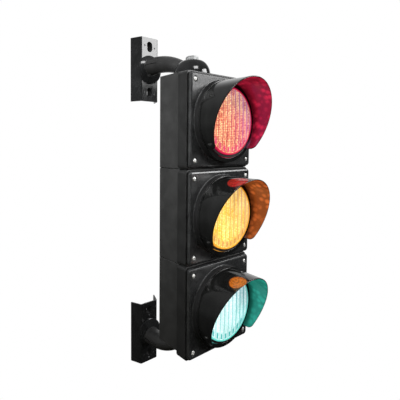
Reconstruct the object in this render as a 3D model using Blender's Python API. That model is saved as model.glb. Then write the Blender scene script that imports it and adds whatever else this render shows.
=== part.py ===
"""Three-light traffic signal head on two wall brackets, as an assembly of separate parts.

Frame: metres, +Z up, the lights face -Y and +X is to the right of someone facing them.
The origin lies on the wall plane, level with the middle light's centre.
Dimensions below are in millimetres.
"""
import math

import bmesh
import bpy
from mathutils import Vector

MM = 0.001
GAP = 0.3

# Sides given to large, middling and small round pieces.
LARGE_ROUND = 30
MIDDLE_ROUND = 16
SMALL_ROUND = 10

# Stack of three sections, top to bottom.
PITCH = 165.0
SECTIONS = (("red", PITCH), ("amber", 0.0), ("green", -PITCH))

# Depths along Y.
WALL_Y = 0.0
FACE_Y = -236.0
HUB_Y = -158.3

# Section body.
BODY_HALF_WIDTH = 77.0
BODY_HALF_HEIGHT = PITCH / 2 - GAP / 2
BODY_FRONT_Y = -211.0
BODY_BEND_Y = -156.0
BODY_BACK_Y = -124.0
BODY_BACK_HALF_WIDTH = 45.0
WALL = 3.0
FOOT_CHAMFER = 8.0
FLANGE_HALF_WIDTH = 80.3
FLANGE_FRONT_Y = -228.7
FLANGE_BACK_Y = -207.0
FLANGE_CORNER = 7.0
STRAP_Y = -203.7
STRAP_DEPTH = 14.0
BOSS_HALF = 5.0
BOSS_BACK_Y = -196.0
COUPLING_HOLE = 13.0
INLET_RADIUS = 10.0
INLET_DROP = 30.0

# Front cover and its drum.
COVER_HALF = 78.0
COVER_FACE_HALF = 74.2
COVER_BACK_Y = FACE_Y + 5.5
COVER_CORNER = 6.0
DRUM_RADIUS = 71.0
DRUM_BORE = 66.0
DRUM_BEVEL = 0.25
DRUM_FRONT_Y = FACE_Y - 10.0
SEAT_RADIUS = 64.5
SEAT_BORE = 61.0
SEAT_Y = DRUM_FRONT_Y + 3.0
SCREW_OFFSET = 67.2
SCREW_HEAD_RADIUS = 3.5
SCREW_SHANK_RADIUS = 2.0
SCREW_END_Y = -211.5
SCREW_HOLE = 2.4
COUNTERBORE_RADIUS = 4.6
COUNTERBORE_DEPTH = 2.5

# Lens and visor.
LENS_RADIUS = 58.3
LENS_RIM_Y = FACE_Y - 17.5
LENS_CROWN = 2.5
LENS_WALL = 3.0
LENS_RING_RADIUS = 62.9
LENS_RING_DEPTH = 4.4
VISOR_RADIUS = 70.0
VISOR_TAPER = 0.028
VISOR_WALL = 2.2
VISOR_RING_RADIUS = 70.9
VISOR_RING_Y = DRUM_FRONT_Y - GAP
VISOR_RING_BORE = 63.8
VISOR_RING_DEPTH = 3.0
VISOR_RING_BEVEL = 0.3
VISOR_REACH = 45.9
VISOR_SLOPE = 0.336
VISOR_HALF_ANGLE = math.radians(134)
VISOR_END_RADIUS = 7.0
VISOR_STEPS = 22

# Brackets.
PLATE_HALF_HEIGHT = 70.0
PLATE_WEB_Y = -25.0
PLATE_WEB_HALF = 23.0
PLATE_FOOT_HALF = 34.7
PLATE_THICKNESS = 3.0
SLOT_OFFSET = 50.5
SLOT_HALF_LENGTH = 10.5
SLOT_RADIUS = 6.6
COLLAR_WALL = 2.5
COLLAR_END_Y = -9.3
ARM_STEPS = 7
ARM_DISC_RADIUS = 31.0
ARM_DISC_EDGE = 2.0
ARM_DISC_DEPTH = 8.0
ARM_ROOT_RISE = 5.5
HUB_RADIUS = 28.0
HUB_CROWN_RADIUS = 14.0
CAP_RADIUS = 35.3
CAP_TOP = 38.0
CAP_WALL = 2.6
CAP_SHOULDER = 21.8
CAP_RISE = 30.0
CAP_STEPS = 5
HUB_BOLT_RADIUS = 6.9
HUB_BOLT_ACROSS_FLATS = 22.0
ARM_BOLT_RADIUS = 5.0
UPPER_ROOT_Z = 292.0
LOWER_ROOT_Z = 310.0
STACK_HALF_HEIGHT = PITCH + BODY_HALF_HEIGHT

COLOURS = {
    "black": ((0.020, 0.021, 0.022), 0.42, 0.0),
    "gloss": ((0.012, 0.012, 0.013), 0.18, 0.0),
    "coated": ((0.030, 0.031, 0.033), 0.48, 0.0),
    "rubber": ((0.010, 0.010, 0.010), 0.85, 0.0),
    "steel": ((0.72, 0.72, 0.70), 0.28, 1.0),
    "board": ((0.03, 0.16, 0.07), 0.5, 0.0),
    "carrier": ((0.70, 0.70, 0.68), 0.55, 0.0),
    "nylon": ((0.55, 0.56, 0.55), 0.5, 0.0),
    "red": ((0.85, 0.03, 0.06), 0.15, 0.0),
    "amber": ((0.95, 0.45, 0.03), 0.15, 0.0),
    "green": ((0.05, 0.75, 0.55), 0.15, 0.0),
}


def clear_scene():
    """Start from an empty scene."""
    for item in list(bpy.data.objects):
        bpy.data.objects.remove(item, do_unlink=True)


def add_material(item, colour):
    """Give an object a material of its own."""
    base, roughness, metallic = COLOURS[colour]
    material = bpy.data.materials.new(item.name)
    material.use_nodes = True
    shader = material.node_tree.nodes["Principled BSDF"]
    shader.inputs["Base Color"].default_value = (*base, 1.0)
    shader.inputs["Roughness"].default_value = roughness
    shader.inputs["Metallic"].default_value = metallic
    item.data.materials.append(material)


def add_empty(name, place):
    """Mark the place of a joint axis."""
    empty = bpy.data.objects.new(name, None)
    empty.location = Vector(place) * MM
    bpy.context.collection.objects.link(empty)
    return empty


def make_object(name, bm, colour=None, parent=None):
    """Turn a bmesh in world millimetres into an object whose origin is its parent's."""
    bmesh.ops.remove_doubles(bm, verts=bm.verts, dist=0.0005)
    bmesh.ops.recalc_face_normals(bm, faces=bm.faces)
    origin = parent.location if parent else Vector((0, 0, 0))
    for vertex in bm.verts:
        vertex.co = vertex.co * MM - origin
    mesh = bpy.data.meshes.new(name)
    bm.to_mesh(mesh)
    bm.free()
    mesh.shade_smooth()
    mesh.set_sharp_from_angle(angle=math.radians(35))
    item = bpy.data.objects.new(name, mesh)
    bpy.context.collection.objects.link(item)
    if parent:
        item.parent = parent
    if colour:
        add_material(item, colour)
    else:
        item.hide_render = True
        item.display_type = "WIRE"
    return item


def boolean(item, operation, other):
    """Join another solid to an object, or cut it out of it."""
    modifier = item.modifiers.new(operation.lower(), "BOOLEAN")
    modifier.operation = operation
    modifier.solver = "EXACT"
    modifier.object = other


def add_loft(bm, rings):
    """Skin a row of equal rings and cap both ends."""
    rows = [[bm.verts.new(point) for point in ring] for ring in rings]
    count = len(rows[0])
    for row, after in zip(rows, rows[1:]):
        for i in range(count):
            j = (i + 1) % count
            bm.faces.new((row[i], row[j], after[j], after[i]))
    bm.faces.new(rows[0][::-1])
    bm.faces.new(rows[-1])


def add_block(bm, low, high):
    """Add a box between two corners."""
    ring = ((low[0], low[1]), (high[0], low[1]), (high[0], high[1]), (low[0], high[1]))
    add_loft(bm, [[(x, y, z) for x, y in ring] for z in (low[2], high[2])])


def add_lathe(bm, profile, segments, centre, axis="Y"):
    """Turn a profile of (radius, distance along the axis) points into a closed solid.

    A profile that starts and ends on the axis is solid, and any other is a ring.
    """
    rows = []
    for radius, along in profile:
        count = segments if radius > 0 else 1
        row = []
        for i in range(count):
            angle = 2 * math.pi * i / segments
            across = radius * math.cos(angle)
            up = radius * math.sin(angle)
            if axis == "Y":
                place = (centre[0] + across, along, centre[2] + up)
            else:
                place = (centre[0] + across, centre[1] + up, along)
            row.append(bm.verts.new(place))
        rows.append(row)
    pairs = list(zip(rows, rows[1:]))
    if profile[0][0] > 0:
        pairs.append((rows[-1], rows[0]))
    for row, after in pairs:
        for i in range(segments):
            j = (i + 1) % segments
            add_panel(bm, row, after, i, j)


def add_panel(bm, row, after, i, j):
    """Add one panel between two rings, either of which may be a single point."""
    corners = [row[i % len(row)], row[j % len(row)], after[j % len(after)], after[i % len(after)]]
    unique = list(dict.fromkeys(corners))
    if len(unique) > 2:
        bm.faces.new(unique)


def add_rod(bm, radius, start, end, segments, centre, axis="Y"):
    """Add a solid round bar between two distances along an axis."""
    add_lathe(bm, ((0, start), (radius, start), (radius, end), (0, end)), segments, centre, axis)


def rounded_rectangle(half_width, half_height, radius, steps=2):
    """List the (x, z) points round a rectangle with round corners."""
    points = []
    for quarter, (sx, sz) in enumerate(((1, 1), (-1, 1), (-1, -1), (1, -1))):
        for step in range(steps + 1):
            angle = math.pi / 2 * (quarter + step / steps)
            x = sx * (half_width - radius) + radius * math.cos(angle)
            z = sz * (half_height - radius) + radius * math.sin(angle)
            points.append((x, z))
    return points


def rectangle_ring(half_width, half_height, radius, y, z_centre):
    """Place a rounded rectangle in a plane that faces -Y."""
    return [(x, y, z_centre + z) for x, z in rounded_rectangle(half_width, half_height, radius)]


def hexagon(across_flats):
    """List the corners of a hexagon."""
    radius = across_flats / math.sqrt(3)
    return [(radius * math.cos(math.pi * i / 3), radius * math.sin(math.pi * i / 3)) for i in range(6)]


def corner_places(z_centre):
    """List the centres of a section's four cover screws."""
    return [(sx * SCREW_OFFSET, z_centre + sz * SCREW_OFFSET) for sz in (1, -1) for sx in (-1, 1)]


def body_outline(inset):
    """List the (x, y) points of a section body seen from above, moved in by a wall."""
    bend = inset * math.tan(math.radians(22.5))
    side = BODY_HALF_WIDTH - inset
    back = BODY_BACK_HALF_WIDTH - bend
    bend_y = BODY_BEND_Y - bend
    back_y = BODY_BACK_Y - inset
    return [(-side, BODY_FRONT_Y), (side, BODY_FRONT_Y), (side, bend_y), (back, back_y),
            (-back, back_y), (-side, bend_y)]


def body_rings(z_centre, inset, chamfer):
    """Give a section body's outline at its ends; a chamfer slants its sides and back in at the foot."""
    half = BODY_HALF_HEIGHT - inset
    levels = [(inset, half)]
    if chamfer:
        levels += [(inset, chamfer - half), (inset + chamfer, -half)]
    else:
        levels.append((inset, -half))
    return [[(x, y, z_centre + z) for x, y in body_outline(depth)] for depth, z in levels]


def make_housing(colour, z_centre, parent):
    """Make one section's body: open front, stepped flange, screw bosses and strap ledges."""
    lowest = colour == SECTIONS[-1][0]
    bm = bmesh.new()
    add_loft(bm, body_rings(z_centre, 0.0, FOOT_CHAMFER if lowest else 0.0))
    housing = make_object(f"housing_{colour}", bm, "black", parent)

    bm = bmesh.new()
    add_loft(bm, [rectangle_ring(FLANGE_HALF_WIDTH, BODY_HALF_HEIGHT, FLANGE_CORNER, y, z_centre)
                  for y in (FLANGE_FRONT_Y, FLANGE_BACK_Y)])
    boolean(housing, "UNION", make_object(f"flange_{colour}_tool", bm))

    bm = bmesh.new()
    slant = WALL * (math.sqrt(2) - 2)
    rings = body_rings(z_centre, WALL, FOOT_CHAMFER + slant if lowest else 0.0)
    for ring in rings:
        for corner in (0, 1):
            ring[corner] = (ring[corner][0], FLANGE_FRONT_Y - 5, ring[corner][2])
    add_loft(bm, rings)
    boolean(housing, "DIFFERENCE", make_object(f"cavity_{colour}_tool", bm))

    bm = bmesh.new()
    for x, z in corner_places(z_centre):
        side = math.copysign(1, x)
        edges = sorted((x - side * BOSS_HALF, side * (BODY_HALF_WIDTH - WALL / 2)))
        add_block(bm, (edges[0], FLANGE_FRONT_Y, z - BOSS_HALF), (edges[1], BOSS_BACK_Y, z + BOSS_HALF))
    for side in (-1, 1):
        edges = sorted((side * 64, side * (BODY_HALF_WIDTH - WALL / 2)))
        add_block(bm, (edges[0], STRAP_Y, z_centre - 12), (edges[1], STRAP_Y + STRAP_DEPTH, z_centre + 12))
    boolean(housing, "UNION", make_object(f"bosses_{colour}_tool", bm))

    bm = bmesh.new()
    for x, z in corner_places(z_centre):
        add_rod(bm, SCREW_HOLE, FLANGE_FRONT_Y - 2, SCREW_END_Y + 3, SMALL_ROUND, (x, 0, z))
    for end in (1, -1):
        outermost = abs(z_centre + end * PITCH / 2) > PITCH
        radius = HUB_BOLT_RADIUS + 0.5 if outermost else COUPLING_HOLE
        wall_z = z_centre + end * BODY_HALF_HEIGHT
        add_rod(bm, radius, wall_z - 6, wall_z + 6, MIDDLE_ROUND, (0, HUB_Y, 0), "Z")
    if lowest:
        inlet_z = z_centre - INLET_DROP
        add_rod(bm, INLET_RADIUS, BODY_BACK_Y - 8, BODY_BACK_Y + 5, SMALL_ROUND, (0, 0, inlet_z))
    boolean(housing, "DIFFERENCE", make_object(f"holes_{colour}_tool", bm))


def make_cover(colour, z_centre, parent):
    """Make the front cover: chamfered plate with a round drum and counterbored corners."""
    bm = bmesh.new()
    plate = ((COVER_HALF, COVER_CORNER, COVER_BACK_Y), (COVER_HALF, COVER_CORNER, FACE_Y + 3.0),
             (COVER_HALF - 1.2, COVER_CORNER - 1.0, FACE_Y + 0.9),
             (COVER_FACE_HALF, COVER_CORNER - 2.5, FACE_Y))
    add_loft(bm, [rectangle_ring(half, half + 1.5, corner, y, z_centre) for half, corner, y in plate])
    cover = make_object(f"cover_{colour}", bm, "black", parent)

    bm = bmesh.new()
    add_rod(bm, DRUM_BORE + 2, FACE_Y - 5, COVER_BACK_Y + 5, LARGE_ROUND, (0, 0, z_centre))
    boolean(cover, "DIFFERENCE", make_object(f"cover_bore_{colour}_tool", bm))

    bm = bmesh.new()
    profile = ((DRUM_BORE, COVER_BACK_Y), (DRUM_RADIUS, COVER_BACK_Y),
               (DRUM_RADIUS, DRUM_FRONT_Y + DRUM_BEVEL), (DRUM_RADIUS - DRUM_BEVEL, DRUM_FRONT_Y),
               (SEAT_RADIUS, DRUM_FRONT_Y), (SEAT_RADIUS, SEAT_Y),
               (SEAT_BORE, SEAT_Y), (SEAT_BORE, SEAT_Y + 3), (DRUM_BORE, SEAT_Y + 3))
    add_lathe(bm, profile, LARGE_ROUND, (0, 0, z_centre))
    boolean(cover, "UNION", make_object(f"drum_{colour}_tool", bm))

    bm = bmesh.new()
    step_y = FACE_Y + COUNTERBORE_DEPTH
    for x, z in corner_places(z_centre):
        hole = ((0, FACE_Y - 2), (COUNTERBORE_RADIUS, FACE_Y - 2), (COUNTERBORE_RADIUS, step_y),
                (SCREW_HOLE, step_y), (SCREW_HOLE, COVER_BACK_Y + 2), (0, COVER_BACK_Y + 2))
        add_lathe(bm, hole, SMALL_ROUND, (x, 0, z))
    boolean(cover, "DIFFERENCE", make_object(f"cover_holes_{colour}_tool", bm))


def make_gasket(colour, z_centre, parent):
    """Make the square seal between the cover and the body."""
    bm = bmesh.new()
    front, back = COVER_BACK_Y + GAP, FLANGE_FRONT_Y - GAP
    outer, inner = (77.2, 78.7, 6.0), (73.0, 74.5, 2.0)
    path = ((outer, front), (outer, back), (inner, back), (inner, front))
    rows = [[bm.verts.new(p) for p in rectangle_ring(*shape, y, z_centre)] for shape, y in path]
    count = len(rows[0])
    for row, after in zip(rows, rows[1:] + rows[:1]):
        for i in range(count):
            add_panel(bm, row, after, i, (i + 1) % count)
    make_object(f"cover_gasket_{colour}", bm, "rubber", parent)


def make_lens(colour, z_centre, parent):
    """Make the domed cup-shaped lens and the ring that clamps its rim."""
    bm = bmesh.new()
    flange_front = DRUM_FRONT_Y + 0.1
    flange_back = SEAT_Y - GAP
    inner = LENS_RADIUS - LENS_WALL
    outside = [(SEAT_RADIUS - GAP, flange_back), (SEAT_RADIUS - GAP, flange_front),
               (LENS_RADIUS, flange_front), (LENS_RADIUS, LENS_RIM_Y)]
    outside += [(LENS_RADIUS * t, LENS_RIM_Y - LENS_CROWN * (1 - t * t)) for t in (0.6, 0.0)]
    inside = [(0.0, LENS_RIM_Y - LENS_CROWN + LENS_WALL), (inner, LENS_RIM_Y + LENS_WALL),
              (inner, flange_back)]
    add_cup(bm, outside, inside, LARGE_ROUND, (0, 0, z_centre))
    make_object(f"lens_{colour}", bm, colour, parent)

    bm = bmesh.new()
    back = flange_front - GAP
    front = back - LENS_RING_DEPTH
    ring = ((LENS_RADIUS + GAP, back), (LENS_RING_RADIUS, back), (LENS_RING_RADIUS, front),
            (LENS_RADIUS + GAP, front))
    add_lathe(bm, ring, LARGE_ROUND, (0, 0, z_centre))
    make_object(f"lens_ring_{colour}", bm, "black", parent)


def add_cup(bm, outside, inside, segments, centre):
    """Turn an open cup: one profile runs up the outside to the tip, the other down the inside."""
    rings = []
    for radius, along in outside + inside:
        places = segments if radius > 0 else 1
        turns = [2 * math.pi * i / segments for i in range(places)]
        rings.append([bm.verts.new((centre[0] + radius * math.cos(turn), along,
                                    centre[2] + radius * math.sin(turn))) for turn in turns])
    tip = len(outside) - 1
    pairs = [(rings[k], rings[k + 1]) for k in range(len(rings) - 1) if k != tip]
    pairs.append((rings[-1], rings[0]))
    for row, after in pairs:
        for i in range(segments):
            add_panel(bm, row, after, i, (i + 1) % segments)


def visor_edge_y(angle):
    """Give the depth of the visor's slanted front edge at an angle from straight up."""
    reach = VISOR_REACH + VISOR_SLOPE * VISOR_RADIUS * math.cos(angle)
    left = VISOR_RADIUS * (VISOR_HALF_ANGLE - abs(angle))
    if left < VISOR_END_RADIUS:
        reach -= VISOR_END_RADIUS - math.sqrt(VISOR_END_RADIUS ** 2 - (VISOR_END_RADIUS - left) ** 2)
    return FACE_Y - reach


def visor_angles():
    """List the angles round the visor's wall, closer together at its round ends."""
    end = VISOR_END_RADIUS / VISOR_RADIUS
    middle = VISOR_HALF_ANGLE - end
    ends = [middle + end * math.sin(math.pi / 2 * k / 3) for k in range(1, 4)]
    body = [-middle + 2 * middle * k / VISOR_STEPS for k in range(VISOR_STEPS + 1)]
    return [-a for a in reversed(ends)] + body + ends


def make_visor(colour, z_centre, parent):
    """Make the cutaway visor: a slanted thin tunnel, open below, on a flat ring."""
    bm = bmesh.new()
    root_y = VISOR_RING_Y - 1.0
    sections = []
    for angle in visor_angles():
        section = []
        for inset in (0.0, VISOR_WALL):
            for y in (root_y, visor_edge_y(angle)):
                radius = VISOR_RADIUS - VISOR_TAPER * (root_y - y) - inset
                section.append((radius * math.sin(angle), y, z_centre + radius * math.cos(angle)))
        sections.append([section[0], section[1], section[3], section[2]])
    add_loft(bm, sections)
    visor = make_object(f"visor_{colour}", bm, "gloss", parent)

    bm = bmesh.new()
    back, front = VISOR_RING_Y, VISOR_RING_Y - VISOR_RING_DEPTH
    ring = ((VISOR_RING_BORE, back), (VISOR_RING_RADIUS, back), (VISOR_RING_RADIUS, front + VISOR_RING_BEVEL),
            (VISOR_RING_RADIUS - VISOR_RING_BEVEL, front), (VISOR_RING_BORE, front))
    add_lathe(bm, ring, LARGE_ROUND, (0, 0, z_centre))
    boolean(visor, "UNION", make_object(f"visor_ring_{colour}_tool", bm))


def make_cover_screws(colour, z_centre, parent):
    """Make the four corner screws of a cover."""
    names = ("top_left", "top_right", "bottom_left", "bottom_right")
    seat = FACE_Y + COUNTERBORE_DEPTH - GAP
    head = FACE_Y - 0.8
    profile = ((0, head), (SCREW_HEAD_RADIUS - 0.8, head), (SCREW_HEAD_RADIUS, head + 0.8),
               (SCREW_HEAD_RADIUS, seat), (SCREW_SHANK_RADIUS, seat), (SCREW_SHANK_RADIUS, SCREW_END_Y),
               (0, SCREW_END_Y))
    for name, (x, z) in zip(names, corner_places(z_centre)):
        bm = bmesh.new()
        add_lathe(bm, profile, SMALL_ROUND, (x, 0, z))
        make_object(f"cover_screw_{colour}_{name}", bm, "steel", parent)


def make_light_module(colour, z_centre, parent):
    """Make the cup that holds the LED board, the board, and the power board behind it."""
    bm = bmesh.new()
    back = STRAP_Y - GAP
    floor = back - 3
    shoulder = FACE_Y + 1.5
    front = FACE_Y - 4.0
    cup = ((57.5, front), (57.5, back), (10, back), (10, floor), (51.5, floor), (51.5, shoulder),
           (54.8, shoulder), (54.8, front))
    add_lathe(bm, cup, MIDDLE_ROUND, (0, 0, z_centre))
    carrier = make_object(f"led_carrier_{colour}", bm, "carrier", parent)

    bm = bmesh.new()
    for side in (-1, 1):
        edges = sorted((side * 50, side * 73.4))
        add_block(bm, (edges[0], floor, z_centre - 11), (edges[1], back, z_centre + 11))
    boolean(carrier, "UNION", make_object(f"strap_{colour}_tool", bm))

    bm = bmesh.new()
    board_back = shoulder - GAP
    add_rod(bm, 53.5, board_back - 1.6, board_back, MIDDLE_ROUND, (0, 0, z_centre))
    make_object(f"led_board_{colour}", bm, "board", parent)

    bm = bmesh.new()
    add_block(bm, (-30, floor - 4.0, z_centre - 22), (30, floor - 2.4, z_centre + 22))
    power = make_object(f"driver_board_{colour}", bm, "board", parent)
    bm = bmesh.new()
    add_block(bm, (-26, floor - 18, z_centre - 14), (-4, floor - 3.5, z_centre + 12))
    add_block(bm, (14, floor - 8, z_centre - 18), (27, floor - 3.5, z_centre - 8))
    add_rod(bm, 6, floor - 19, floor - 3.5, SMALL_ROUND, (12, 0, z_centre + 8))
    boolean(power, "UNION", make_object(f"components_{colour}_tool", bm))


def make_coupling(name, z_joint, parent):
    """Make the hollow coupling between two sections and its ring nut."""
    inner_wall = GAP / 2 + WALL + GAP
    low = z_joint - inner_wall
    high = z_joint + inner_wall
    bm = bmesh.new()
    tube = ((9.5, low - 4), (17, low - 4), (17, low), (12.6, low), (12.6, high + 9), (9.5, high + 9))
    add_lathe(bm, tube, MIDDLE_ROUND, (0, HUB_Y, 0), "Z")
    make_object(f"section_coupling_{name}", bm, "nylon", parent)

    bm = bmesh.new()
    add_loft(bm, [[(x, HUB_Y + y, z) for x, y in hexagon(32)] for z in (high, high + 6)])
    nut = make_object(f"coupling_nut_{name}", bm, "nylon", parent)
    bm = bmesh.new()
    add_rod(bm, COUPLING_HOLE, high - 2, high + 8, MIDDLE_ROUND, (0, HUB_Y, 0), "Z")
    boolean(nut, "DIFFERENCE", make_object(f"coupling_nut_{name}_tool", bm))


def make_wiring_parts(parent):
    """Make the terminal block and the grommet of the cable inlet in the lowest section."""
    z_centre = SECTIONS[2][1]
    bm = bmesh.new()
    add_block(bm, (-32, -142, z_centre - 62), (32, BODY_BACK_Y - WALL - GAP, z_centre - 48))
    make_object("terminal_block", bm, "nylon", parent)

    bm = bmesh.new()
    inside = BODY_BACK_Y - WALL - GAP
    outside = BODY_BACK_Y + GAP
    profile = ((4.5, inside - 2), (12.5, inside - 2), (12.5, inside), (9.6, inside), (9.6, outside),
               (12.5, outside), (11, outside + 3), (4.5, outside + 3))
    add_lathe(bm, profile, SMALL_ROUND, (0, 0, z_centre - INLET_DROP))
    make_object("cable_grommet", bm, "rubber", parent)


def arm_rings(side, root_z, grow):
    """Give the oval sections of a bracket arm, from its flared root disc to its hub."""
    hub_z = STACK_HALF_HEIGHT + 22.8
    start_y = PLATE_WEB_Y - GAP
    shoulder_y = start_y - ARM_DISC_DEPTH
    root_rise_z = root_z + ARM_ROOT_RISE
    sections = [(y, root_z, ARM_DISC_RADIUS, ARM_DISC_RADIUS) for y in (start_y, start_y - ARM_DISC_EDGE)]
    for step in range(ARM_STEPS + 1):
        t = (step / ARM_STEPS) ** 1.3
        y = shoulder_y + (HUB_Y + 12 - shoulder_y) * t
        z = root_rise_z + (hub_z - root_rise_z) * t ** 2.3
        sections.append((y, z, 19.5 - 4.5 * t ** 2.5, 17.5 - 4.5 * t ** 2.5))
    turns = [2 * math.pi * i / MIDDLE_ROUND for i in range(MIDDLE_ROUND)]
    return [[((half_width + grow) * math.cos(turn), y, side * (z + (half_height + grow) * math.sin(turn)))
             for turn in turns] for y, z, half_width, half_height in sections]


def slot_loft(bm, z_centre, radius, y_ends):
    """Add an upright bar with round ends, the shape of one of the plate's slots."""
    points = []
    for end in (1, -1):
        for step in range(5):
            turn = math.pi * step / 4 + (0 if end > 0 else math.pi)
            z = z_centre + end * (SLOT_HALF_LENGTH - SLOT_RADIUS)
            points.append((radius * math.cos(turn), z + radius * math.sin(turn)))
    add_loft(bm, [[(x, y, z) for x, z in points] for y in y_ends])


def make_wall_plate(name, z_centre):
    """Make the splayed channel that seats on a wall or a pole, with a collar behind each slot."""
    run = Vector((PLATE_FOOT_HALF - PLATE_WEB_HALF, WALL_Y - PLATE_WEB_Y)).normalized()
    inner_start = Vector((PLATE_WEB_HALF, PLATE_WEB_Y)) + PLATE_THICKNESS * Vector((-run.y, run.x))
    web_back = PLATE_WEB_Y + PLATE_THICKNESS
    bend_x = inner_start.x + run.x * (web_back - inner_start.y) / run.y
    foot_x = inner_start.x + run.x * (WALL_Y - inner_start.y) / run.y
    half = [(PLATE_WEB_HALF, PLATE_WEB_Y), (PLATE_FOOT_HALF, WALL_Y), (foot_x, WALL_Y), (bend_x, web_back)]
    outline = half + [(-x, y) for x, y in reversed(half)]
    bm = bmesh.new()
    ends = (z_centre - PLATE_HALF_HEIGHT, z_centre + PLATE_HALF_HEIGHT)
    add_loft(bm, [[(x, y, z) for x, y in outline] for z in ends])
    plate = make_object(f"wall_plate_{name}", bm, "coated")

    slots = (z_centre - SLOT_OFFSET, z_centre + SLOT_OFFSET)
    bm = bmesh.new()
    for slot_z in slots:
        slot_loft(bm, slot_z, SLOT_RADIUS + COLLAR_WALL, (PLATE_WEB_Y + PLATE_THICKNESS / 2, COLLAR_END_Y))
    boolean(plate, "UNION", make_object(f"collars_{name}_tool", bm))

    bm = bmesh.new()
    for slot_z in slots:
        slot_loft(bm, slot_z, SLOT_RADIUS, (PLATE_WEB_Y - 3, COLLAR_END_Y + 3))
    add_rod(bm, ARM_BOLT_RADIUS + GAP, PLATE_WEB_Y - 3, web_back + 3, SMALL_ROUND, (0, 0, z_centre))
    boolean(plate, "DIFFERENCE", make_object(f"slots_{name}_tool", bm))


def make_arm(name, side, root_z):
    """Make the oval arm with its round hub and the bolt that holds it to the wall plate."""
    bm = bmesh.new()
    add_loft(bm, arm_rings(side, root_z, 0.0))
    arm = make_object(f"bracket_arm_{name}", bm, "coated")

    seat = STACK_HALF_HEIGHT + GAP
    crown = STACK_HALF_HEIGHT + CAP_TOP - CAP_WALL - GAP - 0.5
    hub = ((0, seat), (HUB_RADIUS, seat), (HUB_RADIUS, seat + 10), (HUB_RADIUS - 4, seat + 24),
           (HUB_CROWN_RADIUS, crown), (0, crown))
    bm = bmesh.new()
    add_lathe(bm, [(radius, side * z) for radius, z in hub], MIDDLE_ROUND, (0, HUB_Y, 0), "Z")
    boolean(arm, "UNION", make_object(f"hub_{name}_tool", bm))

    bm = bmesh.new()
    bore = HUB_BOLT_RADIUS + GAP
    add_rod(bm, bore, side * (seat - 5), side * (crown + 5), SMALL_ROUND, (0, HUB_Y, 0), "Z")
    web_back = PLATE_WEB_Y + PLATE_THICKNESS
    bolt_end = PLATE_WEB_Y - 30
    add_rod(bm, ARM_BOLT_RADIUS + GAP, bolt_end - 1, web_back, SMALL_ROUND, (0, 0, side * root_z))
    boolean(arm, "DIFFERENCE", make_object(f"arm_bores_{name}_tool", bm))

    bm = bmesh.new()
    head = web_back + GAP
    add_loft(bm, [[(x, y, side * root_z + z) for x, z in hexagon(17)] for y in (head, head + 6.4)])
    bolt = make_object(f"arm_bolt_{name}", bm, "steel")
    bm = bmesh.new()
    add_rod(bm, ARM_BOLT_RADIUS, bolt_end, head + 1, SMALL_ROUND, (0, 0, side * root_z))
    boolean(bolt, "UNION", make_object(f"arm_bolt_{name}_tool", bm))


def make_hub_cap(name, side, root_z):
    """Make the bowl-shaped cap over the hub, cut away where the arm enters."""
    base = STACK_HALF_HEIGHT + 2 * GAP
    top = STACK_HALF_HEIGHT + CAP_TOP
    outside = [(CAP_RADIUS, base)]
    inside = []
    for step in range(CAP_STEPS + 1):
        angle = math.pi / 2 * step / CAP_STEPS
        drop = 1 - math.sin(angle)
        radius = CAP_RADIUS - CAP_SHOULDER * (1 - math.cos(angle))
        outside.append((radius, top - CAP_RISE * drop))
        inside.append((radius - CAP_WALL, top - CAP_WALL - (CAP_RISE - CAP_WALL) * drop))
    bore = HUB_BOLT_RADIUS + GAP
    profile = outside + [(bore, top), (bore, top - CAP_WALL)] + inside[::-1] + [(CAP_RADIUS - CAP_WALL, base)]
    bm = bmesh.new()
    add_lathe(bm, [(radius, side * z) for radius, z in profile], MIDDLE_ROUND + 4, (0, HUB_Y, 0), "Z")
    cap = make_object(f"hub_cap_{name}", bm, "gloss")
    bm = bmesh.new()
    add_loft(bm, arm_rings(side, root_z, GAP))
    boolean(cap, "DIFFERENCE", make_object(f"cap_cut_{name}_tool", bm))


def make_hub_bolt(name, side):
    """Make the bolt that the head turns on, and its nut inside the end section."""
    top = STACK_HALF_HEIGHT + CAP_TOP + GAP
    tip = STACK_HALF_HEIGHT - WALL - 16
    bm = bmesh.new()
    outline = hexagon(HUB_BOLT_ACROSS_FLATS)
    add_loft(bm, [[(x, HUB_Y + y, side * z) for x, y in outline] for z in (top, top + 7.5)])
    bolt = make_object(f"hub_bolt_{name}", bm, "steel")
    bm = bmesh.new()
    add_rod(bm, HUB_BOLT_RADIUS, side * tip, side * (top + 1), SMALL_ROUND, (0, HUB_Y, 0), "Z")
    boolean(bolt, "UNION", make_object(f"hub_shank_{name}_tool", bm))

    high = STACK_HALF_HEIGHT - WALL - GAP
    bm = bmesh.new()
    add_loft(bm, [[(x, HUB_Y + y, side * z) for x, y in outline] for z in (high - 10, high)])
    nut = make_object(f"hub_nut_{name}", bm, "steel")
    bm = bmesh.new()
    bore = HUB_BOLT_RADIUS + GAP
    add_rod(bm, bore, side * (high - 12), side * (high + 2), SMALL_ROUND, (0, HUB_Y, 0), "Z")
    boolean(nut, "DIFFERENCE", make_object(f"hub_nut_{name}_tool", bm))


def make_bracket(name, side, root_z):
    """Make one wall bracket: side is 1 above the head and -1 below it."""
    make_wall_plate(name, side * root_z)
    make_arm(name, side, root_z)
    make_hub_cap(name, side, root_z)
    make_hub_bolt(name, side)


def main():
    """Build the whole signal head."""
    clear_scene()
    head = add_empty("head_axis", (0, HUB_Y, 0))
    for colour, z_centre in SECTIONS:
        make_housing(colour, z_centre, head)
        make_light_module(colour, z_centre, head)
        front = add_empty(f"cover_slide_{colour}", (0, FACE_Y, z_centre))
        make_cover(colour, z_centre, front)
        make_gasket(colour, z_centre, front)
        make_lens(colour, z_centre, front)
        make_visor(colour, z_centre, front)
        make_cover_screws(colour, z_centre, front)
    make_coupling("upper", PITCH / 2, head)
    make_coupling("lower", -PITCH / 2, head)
    make_wiring_parts(head)
    make_bracket("upper", 1, UPPER_ROOT_Z)
    make_bracket("lower", -1, LOWER_ROOT_Z)


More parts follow.
